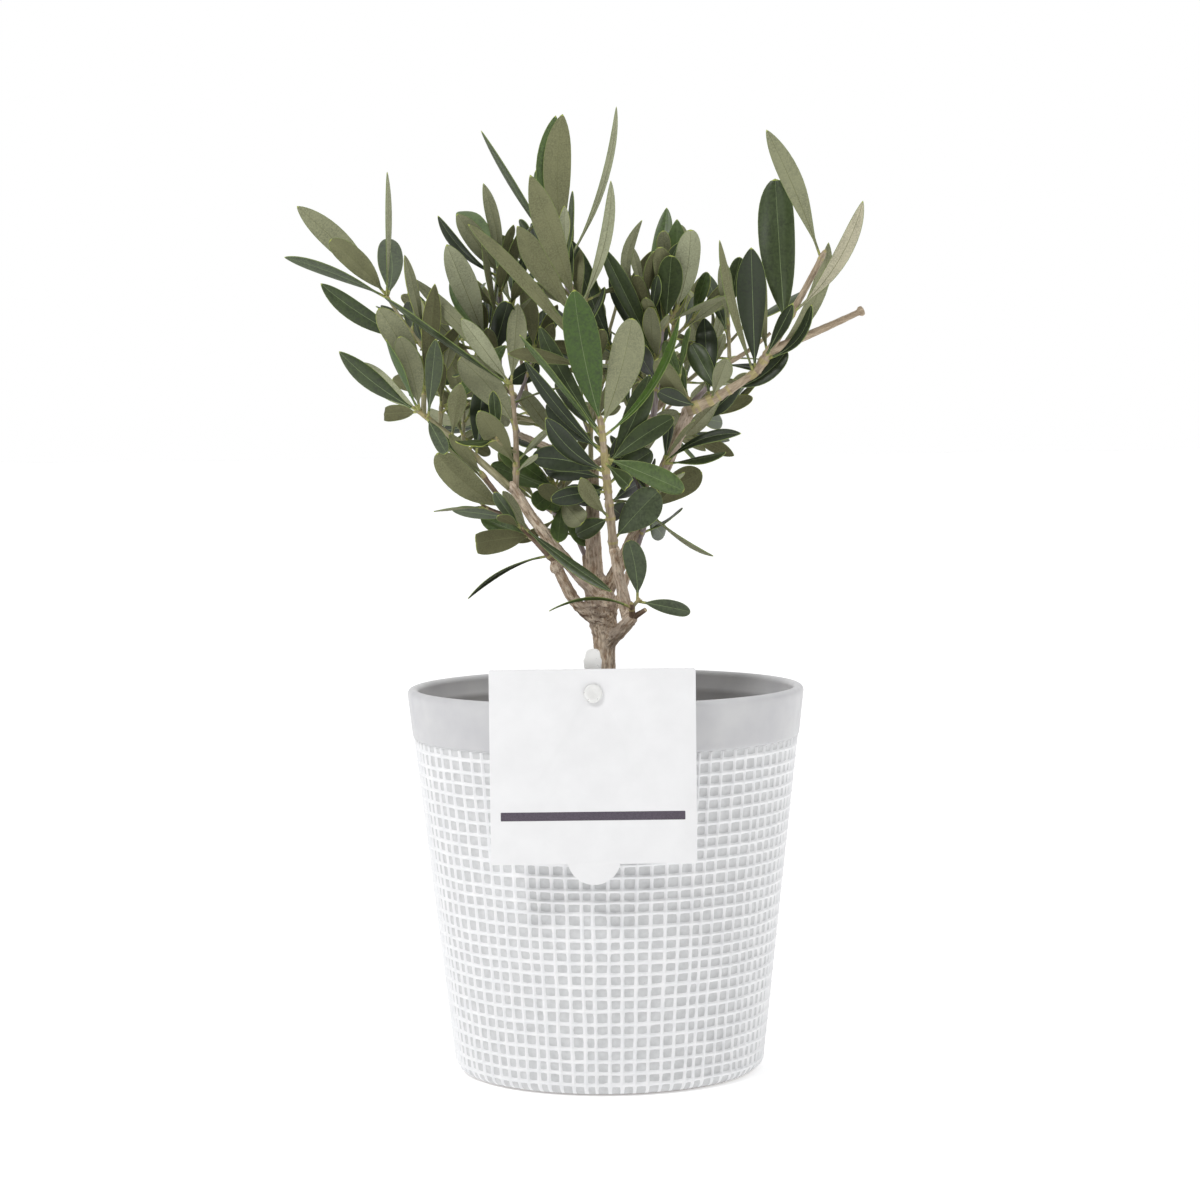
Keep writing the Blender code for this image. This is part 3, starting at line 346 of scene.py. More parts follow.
def makePot():
    rng = random.Random(pot["seed"])
    columns, rows, humps = pot["columns"], pot["rows"], pot["humps"]
    widths = [1 + rng.uniform(-1, 1) * pot["uneven"] for _ in range(columns)]
    starts = [math.tau * sum(widths[:k]) / sum(widths) for k in range(columns + 1)]
    heights = [1 + rng.uniform(-pot["rowUneven"], pot["rowUneven"]) for _ in range(rows)]
    bandFoot = pot["height"] - pot["bandHeight"]
    span = bandFoot + 0.2 - pot["lowLine"]
    lines = [pot["lowLine"] + span * sum(heights[:k]) / sum(heights) for k in range(rows + 1)]
    drips = [rng.uniform(*pot["drips"]) for _ in range(columns)]
    half = pot["lineWide"] / 2

    def across(c, z):
        # a column line's place round the pot, its half width and its sway, at a height
        wide = half * (1 + pot["columnSwell"] * wobble((c % columns) * 31.0, z, 3.0))
        sway = pot["wander"] * wobble((c % columns) * 57.0, z * 0.6, 9.0)
        return starts[c % columns] + (math.tau if c == columns else 0), wide, sway

    def lineHeight(r, at):
        return lines[r] + pot["wander"] * wobble(at * 0.5, r * 23.0, 7.0)

    def reliefRing(r, s, edge=None):
        # six points to a column, at step s of row r or, below and above the rows, at the height edge
        ring = []
        for c in range(columns):
            level = lines[r] if edge is None else edge
            here = wallRadius(level)
            start, wide, sway = across(c, level)
            nextStart, nextWide, nextSway = across(c + 1, level)
            for k in range(6):
                theta = start + (sway + wide * (k - 2) / 2) / here
                if k == 5:
                    left, right = start + (sway + wide) / here, nextStart + (nextSway - nextWide) / here
                    theta = (left + right) / 2
                if edge is None:
                    at = theta * here
                    thick = half * (1 + pot["rowSwell"] * wobble(at * 1.3, r * 41.0, 5.0))
                    z, hump = lineHeight(r, at), humps[s]
                    z = z + thick * (s - 2) / 2 if s < 5 else (z + thick + lineHeight(r + 1, at) - half) / 2
                else:
                    z, hump = edge, 0.0
                side = humps[k] if edge is None or edge > drips[c] else 0.0
                raised = (1 - (1 - side) * (1 - hump)) * (1 + pot["crossRise"] * side * hump)
                # the corners of each pool are drawn in, so that it is a soft square
                if edge is None and k in (0, 4) and s in (0, 4):
                    z += pot["cornerIn"] * (1 if s == 4 else -1)
                    theta += pot["cornerIn"] / here * (1 if k == 4 else -1)
                if edge is None and s == k == 2:
                    raised += pot["knotRise"]
                radius = wallRadius(z) - pot["sunk"] + (pot["sunk"] + pot["proud"]) * raised
                radius += pot["wave"] * wobble(theta * 160, z * 4, 1.0)
                ring.append((radius * math.sin(theta), -radius * math.cos(theta), z))
        return ring

    def plainRing(radius, z):
        thetas = [mixed(starts[c], starts[c + 1], k / 6) for c in range(columns) for k in range(6)]
        return [(radius * math.sin(t), -radius * math.cos(t), z) for t in thetas]

    footEdge = pot["footRadius"] - pot["footRound"]
    rings = [("clay", plainRing(radius, 0.0)) for radius in (pot["footFlat"], footEdge)]
    rings += [("pool" if z > pot["footBare"] else "clay", reliefRing(0, 5, z)) for z in pot["footRings"]]
    rings += [("line" if s < 4 else "pool", reliefRing(r, s)) for r in range(rows) for s in range(6)
              if (r, s) != (rows - 1, 5)]
    rings.append(("pool", reliefRing(0, 5, bandFoot - pot["bandGap"])))
    # the band stands out over the grid by a small soft step
    foot, proud = wallRadius(bandFoot), pot["bandProud"]
    profile = [(foot - 0.25, bandFoot - 0.45), (foot + 0.22, bandFoot - 0.2), (foot + 0.42, bandFoot + 0.25)]
    top = pot["height"] - pot["rimRound"]
    profile += [(wallRadius(z) + proud, z) for z in (bandFoot + 1, bandFoot + 5, bandFoot + 10, top - 1.2)]
    profile += arc((pot["rimRadius"] - pot["rimRound"], top), pot["rimRound"], 0, 90, 5)
    profile += arc((pot["mouthRadius"] + pot["rimRound"], top), pot["rimRound"], 90, 180, 5)
    # inside: a low ridge under the mouth, and a rounded foot
    ridge, reach = pot["height"] - pot["ridgeDrop"], pot["ridgeReach"]
    profile += [(innerRadius(ridge + reach), ridge + reach), (innerRadius(ridge) - pot["ridgeProud"], ridge),
                (innerRadius(ridge - reach), ridge - reach), (innerRadius(108), 108), (innerRadius(60), 60)]
    edge = pot["floor"] + pot["floorRound"]
    profile += arc((innerRadius(edge) - pot["floorRound"], edge), pot["floorRound"], 0, -90, 2)
    rings += [("band" if z > pot["glazedTo"] else "clay", plainRing(radius, z)) for radius, z in profile]
    verts, faces = closedRings([ring for kind, ring in rings], (0, 0, 0), (0, 0, pot["floor"]))
    # the finish on a column's line and on the pool beside it
    tones = {"line": (0, 0), "pool": (0, 1), "band": (2, 2), "clay": (3, 3)}
    sides = columns * 6
    slots = [tones[kind][k % 6 >= 4] for kind, ring in rings[:-1] for k in range(sides)]
    slots = [3] * sides + slots + [3] * sides
    settle(pieceFrom("stonewarePot", verts, faces, slots, stonewareFinishes()), "pot", "pot")
    print("pot:", len(faces), "faces")


makePot()


# The tag: a bare card with a printed rule, a clear strip that stands in the soil and a clear button.
tag = {
    "wide": 64.0, "tall": 60.7, "top": 137.3, "centre": -4.2, "back": -65.4, "thick": 0.8, "corner": 0.7,
    "lugRadius": 8.3, "lugDrop": 6.5, "pinX": -4.0, "pinZ": 129.8, "pinRadius": 1.5, "pinHead": 2.9,
    "pinThick": 0.9, "holderWide": 5.7, "holderThick": 1.2, "holderTop": 143.2, "holderFoot": 84.0,
    "holderY": -55.0, "holderEdge": 0.35, "neck": 134.0, "flare": 137.5, "bulge": 139.4, "bulgeRound": 1.5,
    "bend": 110.0, "buttonSides": 36, "gap": 0.3, "bar": (-33.0, 24.2, 90.25, 92.95), "barThick": 0.04,
}

# Potting soil: a loose uneven top with crumbs, bits of bark and a little white grit.
soil = {
    "top": 106.0, "highest": 1.8, "clear": 0.3, "rings": 34, "sides": 132, "uneven": 1.1, "seed": 8,
    # crumbs of peat, then chips of bark and grit: their shares, sizes, lengths and flatness
    "crumbs": 620, "peatShare": 0.70, "chipShare": 0.72, "sizes": (0.5, 1.7), "gritSizes": (0.5, 1.1),
    "lengths": (0.9, 1.3), "chipLengths": (1.2, 2.6), "flat": (0.8, 0.6), "lump": 0.35, "proud": 0.25,
    # how far crumbs stay from the edge and the trunk, and the half width and front of the holder's clearing
    "edgeClear": 2, "trunkClear": 7, "holderClear": (5, -52), "tilt": 0.5,
}


def soilFinishes():
    # peat: nearly black, dry and fibrous, so matt with a broken surface
    def earth(name, dark, light, size):
        material, shader = newFinish(name, dark, 0.96)
        grain = noiseAt(material, size, 5.0)
        tintBy(material, shader, dark, light, grain, 0.0, 1.0, 0.35, 0.68)
        addBump(material, shader, grain, 0.5)
        return material

    return [earth("darkPeat", "#1f1711", "#4b3a2b", 1.4), earth("barkChip", "#4a3423", "#8a6a49", 1.0),
            earth("whiteGrit", "#b9b4a8", "#e4e1d8", 0.8)]


def soilHeight(x, y):
    swell = noise.fractal(Vector((x / 13, y / 13, 3.1)), 0.9, 2.1, 4)
    fine = noise.fractal(Vector((x / 2.6, y / 2.6, 7.7)), 0.9, 2.2, 3)
    far = math.hypot(x, y)
    return soil["top"] - 0.6 + soil["uneven"] * (0.55 * swell + 0.35 * fine) + 1.3 * math.exp(-(far / 9) ** 2)


def makeSoil():
    rng = random.Random(soil["seed"])
    top, sides, count = soil["top"], soil["sides"], soil["rings"]
    outer = innerRadius(top) - soil["clear"]
    rings = []
    for r in range(count):
        level = circle(outer * ((r + 1) / count), top, sides, 0.5 * (r % 2))
        rings.append([(x, y, min(soilHeight(x, y), top + soil["highest"])) for x, y, _ in level])
    foot, edge = pot["floor"] + soil["clear"], pot["floor"] + pot["floorRound"]
    rings.append(circle(innerRadius(edge) - 2 * soil["clear"], edge + soil["clear"], sides))
    rings.append(circle(innerRadius(edge) - pot["floorRound"], foot, sides))
    verts, faces = closedRings(rings, (0, 0, soilHeight(0, 0)), (0, 0, foot))
    faces = [face[::-1] for face in faces]
    shapes, slots = [(verts, faces)], [0] * len(faces)
    crumb, crumbFaces = ball((0, 0, 0), 1.0, 1)
    (clearHalf, clearFront), (deep, tall) = soil["holderClear"], soil["flat"]
    for n in range(soil["crumbs"]):
        far, a = (outer - soil["edgeClear"]) * math.sqrt(rng.random()), rng.uniform(0, math.tau)
        x, y = far * math.cos(a), far * math.sin(a)
        kind = 0 if rng.random() < soil["peatShare"] else (1 if rng.random() < soil["chipShare"] else 2)
        size = rng.uniform(*soil["gritSizes" if kind == 2 else "sizes"])
        long = rng.uniform(*soil["chipLengths" if kind == 1 else "lengths"])
        turn = Matrix.Rotation(rng.uniform(0, math.tau), 3, "Z")
        turn = turn @ Matrix.Rotation(rng.uniform(-soil["tilt"], soil["tilt"]), 3, "X")
        if far < soil["trunkClear"] or (y < clearFront and abs(x - tag["pinX"]) < clearHalf):
            continue
        height, points = soilHeight(x, y) + size * soil["proud"], []
        for v in crumb:
            swell = 1 + soil["lump"] * noise.noise(v * 2 + Vector((n, 0, 0)))
            p = turn @ (Vector((v.x * long, v.y * deep, v.z * tall)) * size * swell)
            points.append((x + p.x, y + p.y, height + p.z))
        shapes.append((points, crumbFaces))
        slots += [kind] * len(crumbFaces)
    verts, faces = joinShapes(shapes)
    settle(pieceFrom("pottingSoil", verts, faces, slots, soilFinishes()), "soil", "soil")
    print("soil:", len(faces), "faces")


makeSoil()


def cutPlate(name, outlines, low, high, edge, material):
    # a plate with softened edges, filled between outlines of (x, z), from y = low to y = high
    curve = bpy.data.curves.new(name, "CURVE")
    curve.dimensions, curve.fill_mode = "2D", "BOTH"
    curve.extrude, curve.bevel_depth, curve.bevel_resolution = ((high - low) / 2 - edge) * mm, edge * mm, 2
    curve.offset = -edge * mm
    for outline in outlines:
        spline = curve.splines.new("POLY")
        spline.points.add(len(outline) - 1)
        spline.use_cyclic_u = True
        for point, (x, z) in zip(spline.points, outline):
            point.co = (x * mm, z * mm, 0, 1)
    drawn = addObject(name, curve)
    mesh = bpy.data.meshes.new_from_object(drawn.evaluated_get(bpy.context.evaluated_depsgraph_get()))
    bpy.data.objects.remove(drawn)
    bpy.data.curves.remove(curve)
    mesh.transform(Matrix(((1, 0, 0, 0), (0, 0, -1, (low + high) / 2 * mm), (0, 1, 0, 0), (0, 0, 0, 1))))
    bm = bmesh.new()
    bm.from_mesh(mesh)
    bmesh.ops.remove_doubles(bm, verts=bm.verts, dist=0.002 * mm)
    bmesh.ops.recalc_face_normals(bm, faces=bm.faces)
    bm.to_mesh(mesh)
    bm.free()
    mesh.materials.clear()
    mesh.materials.append(material)
    mesh.name = name
    mesh.shade_smooth()
    mesh.set_sharp_from_angle(angle=math.radians(40))
    return addObject(name, mesh)


def roundedBox(left, right, foot, top, radius):
    corners = ((right - radius, foot + radius, -90), (right - radius, top - radius, 0),
               (left + radius, top - radius, 90), (left + radius, foot + radius, 180))
    return [p for x, z, start in corners for p in arc((x, z), radius, start, start + 90, 4)]


def makeTag():
    # coated card: bright white, smooth, with a faint fibre under the coating
    card, shader = newFinish("coatedCard", "#e7e7e8", 0.46)
    fibre = noiseAt(card, 0.5, 4.0, (1.0, 1.0, 0.4))
    tintBy(card, shader, "#e5e5e6", "#eaeaeb", noiseAt(card, 9))
    glossBy(card, shader, fibre, 0.40, 0.54)
    addBump(card, shader, fibre, 0.012)
    # printing ink: a thin dark coat that takes the card's tooth
    ink, shader = newFinish("darkPrintingInk", "#4c4450", 0.42)
    tooth = noiseAt(ink, 0.4, 3.0)
    tintBy(ink, shader, "#463e4a", "#574e5b", tooth)
    addBump(ink, shader, tooth, 0.01)
    left, right = tag["centre"] - tag["wide"] / 2, tag["centre"] + tag["wide"] / 2
    foot, top, corner = tag["top"] - tag["tall"], tag["top"], tag["corner"]
    lug = foot - tag["lugDrop"] + tag["lugRadius"]
    reach = math.degrees(math.asin((lug - foot) / tag["lugRadius"]))
    outline = arc((left + corner, top - corner), corner, 90, 180, 4)
    outline += arc((left + corner, foot + corner), corner, 180, 270, 4)
    outline += arc((tag["centre"], lug), tag["lugRadius"], 180 + reach, 360 - reach, 30)
    outline += arc((right - corner, foot + corner), corner, 270, 360, 4)
    outline += arc((right - corner, top - corner), corner, 0, 90, 4)
    hole = arc((tag["pinX"], tag["pinZ"]), tag["pinRadius"] + tag["gap"], 360, 0, 24)[:-1]
    front = tag["back"] - tag["thick"]
    piece = cutPlate("tagCard", [outline, hole], front, tag["back"], 0.10, card)
    settle(piece, "card", "tag_card")
    bar = roundedBox(*tag["bar"], 0.2)
    piece = cutPlate("tagBar", [bar], front - tag["barThick"], front + 0.06, 0.015, ink)
    settle(piece, "card")


def makeHolder():
    # moulded acrylic: clear but a little milky from handling, with soft rounded edges
    acrylic, shader = newFinish("mouldedAcrylic", "#fcfcfa", 0.3, 1.49, **{"Transmission Weight": 0.3})
    haze = noiseAt(acrylic, 1.6, 3.0)
    glossBy(acrylic, shader, haze, 0.26, 0.40)
    addBump(acrylic, shader, haze, 0.12)
    x, half, top, foot = tag["pinX"], tag["holderWide"] / 2, tag["holderTop"], tag["holderFoot"]
    bulge, curve = tag["bulge"], tag["bulgeRound"]
    side = [(half * 0.84, foot), (half * 0.84, tag["neck"]), (half * 0.94, tag["flare"])]
    outline = [(x + off, z) for off, z in side] + arc((x + half - curve, bulge), curve, -10, 40, 4)
    outline += arc((x + 0.8, top - 1.5), 1.5, 0, 90, 7) + arc((x - 0.4, top - 1.8), 1.8, 90, 165, 6)
    outline += arc((x - half + curve, bulge), curve, 140, 190, 4)
    outline += [(x - off, z) for off, z in reversed(side)]
    thick = tag["holderThick"] / 2
    strip = cutPlate("tagHolder", [outline], -thick, thick, tag["holderEdge"], acrylic)
    bm = bmesh.new()
    bm.from_mesh(strip.data)
    # the strip leans with the pot's wall
    whole = bm.verts[:] + bm.edges[:] + bm.faces[:]
    bmesh.ops.bisect_plane(bm, geom=whole, plane_co=(0, 0, tag["bend"] * mm), plane_no=(0, 0, 1))
    for vert in bm.verts:
        vert.co.y += (tag["holderY"] - pot["rise"] * (vert.co.z / mm - foot)) * mm
    face = tag["back"] - tag["thick"] - tag["gap"]
    shank = tag["holderY"] - pot["rise"] * (tag["pinZ"] - foot)
    head, thin = tag["pinHead"], tag["pinThick"]
    profile = [(0, face - thin + 0.14), (head * 0.45, face - thin + 0.12), (head * 0.58, face - thin),
               (head * 0.82, face - thin + 0.02), (head - 0.1, face - thin + 0.25), (head, face - thin / 2),
               (head - 0.1, face - 0.08), (tag["pinRadius"] + 0.1, face), (tag["pinRadius"], face + 0.3),
               (tag["pinRadius"], shank), (0, shank)]
    pinZ, rings = tag["pinZ"], []
    for radius, y in profile[1:-1]:
        ring = circle(radius, 0, tag["buttonSides"])
        rings.append([(x + across, y, pinZ + rise) for across, rise, z in ring])
    verts, faces = closedRings(rings, (x, profile[0][1], pinZ), (x, profile[-1][1], pinZ))
    made = [bm.verts.new(Vector(v) * mm) for v in verts]
    for corners in faces:
        bm.faces.new([made[i] for i in corners])
    bmesh.ops.recalc_face_normals(bm, faces=bm.faces)
    bm.to_mesh(strip.data)
    bm.free()
    strip.data.shade_smooth()
    strip.data.set_sharp_from_angle(angle=math.radians(50))
    settle(strip, "clear", "tag_holder")


makeTag()
makeHolder()
print("tag: card, rule, strip and button")


# The trunk's axis and radius from the flat cut at soil level up to its fork.
trunkStations = (
    (0.6, 0.4, 106.3, 6.6), (0.5, 0.2, 109, 5.0), (0.3, 0, 114, 4.2), (-0.1, 0, 126, 3.6),
    (-0.2, 0, 137, 3.5), (-0.1, 0, 143, 4.0), (-0.8, 0.3, 149, 5.0), (-1.4, 0.8, 154, 5.6),
    (-1.5, 1.0, 157, 4.2),
)

# The crown is open where the light shows through it from in front. No leaf grown by the rule stands
# over the skyline's heights or in a gap, given as (x, z, radius), as they are seen from the eye.
eye = (-1.5, 1100, 226)
skylineHeights = (
    (-110, 215), (-85, 240), (-74, 252), (-60, 258), (-50, 264), (-42, 270), (-34, 276), (-24, 280),
    (-12, 284), (-4, 262), (6, 258), (12, 264), (20, 276), (28, 272), (33, 258), (42, 258), (52, 262),
    (72, 262), (80, 250), (110, 215),
)
skyGaps = (
    (-31, 230, 4), (-24, 226, 3), (-8, 250, 4), (5, 248, 3), (-16, 219, 2.5), (26, 220, 3), (33, 230, 2.5),
    (46, 250, 4), (45, 240, 3.5), (-24, 185, 3), (-52, 255, 4), (-76, 246, 5), (58, 216, 9), (62, 224, 4),
    (74, 238, 7), (44, 210, 4), (-64, 206, 5), (-10, 166, 4),
)

# Each bough tapers between its two ends, from and to, and sags by bow of its length.
boughs = {
    "low_left_bough": {"from": (-11.2, -1.5, 156.6), "to": (-16, -3, 167), "thick": (3.7, 3.2), "bow": 0.08},
    "left_bough": {"from": (-6.5, -3, 161), "to": (-29.5, -8, 192), "thick": (4.3, 3.2), "bow": 0.09},
    "centre_bough": {"from": (-3.8, 3, 159), "to": (-3.5, 4, 197), "thick": (4.9, 4.2), "bow": 0.0},
    "right_bough": {"from": (2.8, 4.4, 161), "to": (28, 3, 215.5), "thick": (4.4, 4.0), "bow": 0.06},
    "cross_bough": {"from": (-4.4, 4.2, 199), "to": (-27, 7, 208.5), "thick": (2.6, 2.2), "bow": 0.02,
                    "on": "centre_bough"},
    "inner_bough": {"from": (-2.2, 4.6, 199), "to": (16, 11, 213), "thick": (2.6, 2.2), "bow": 0.05,
                    "on": "centre_bough"},
    "low_right_bough": {"from": (6.0, 1.4, 157.5), "to": (9, 2.4, 166), "thick": (2.6, 2.0), "bow": 0.0},
    "low_back_bough": {"from": (-5.4, 6.6, 158), "to": (-6.2, 10, 168), "thick": (2.6, 2.2), "bow": 0.0},
    "low_spur": {"from": (4.4, -4.2, 144.0), "to": (8.3, -7.4, 148.2), "thick": (4.6, 4.0), "bow": 0.04},
    "front_bough": {"from": (7.2, -4.9, 150.9), "to": (3.2, -8, 171), "thick": (4.2, 3.0), "bow": 0.04,
                    "on": "low_spur"},
    "back_bough": {"from": (-2.0, 8.2, 159), "to": (-4, 30, 196), "thick": (4.0, 3.4), "bow": 0.08},
}

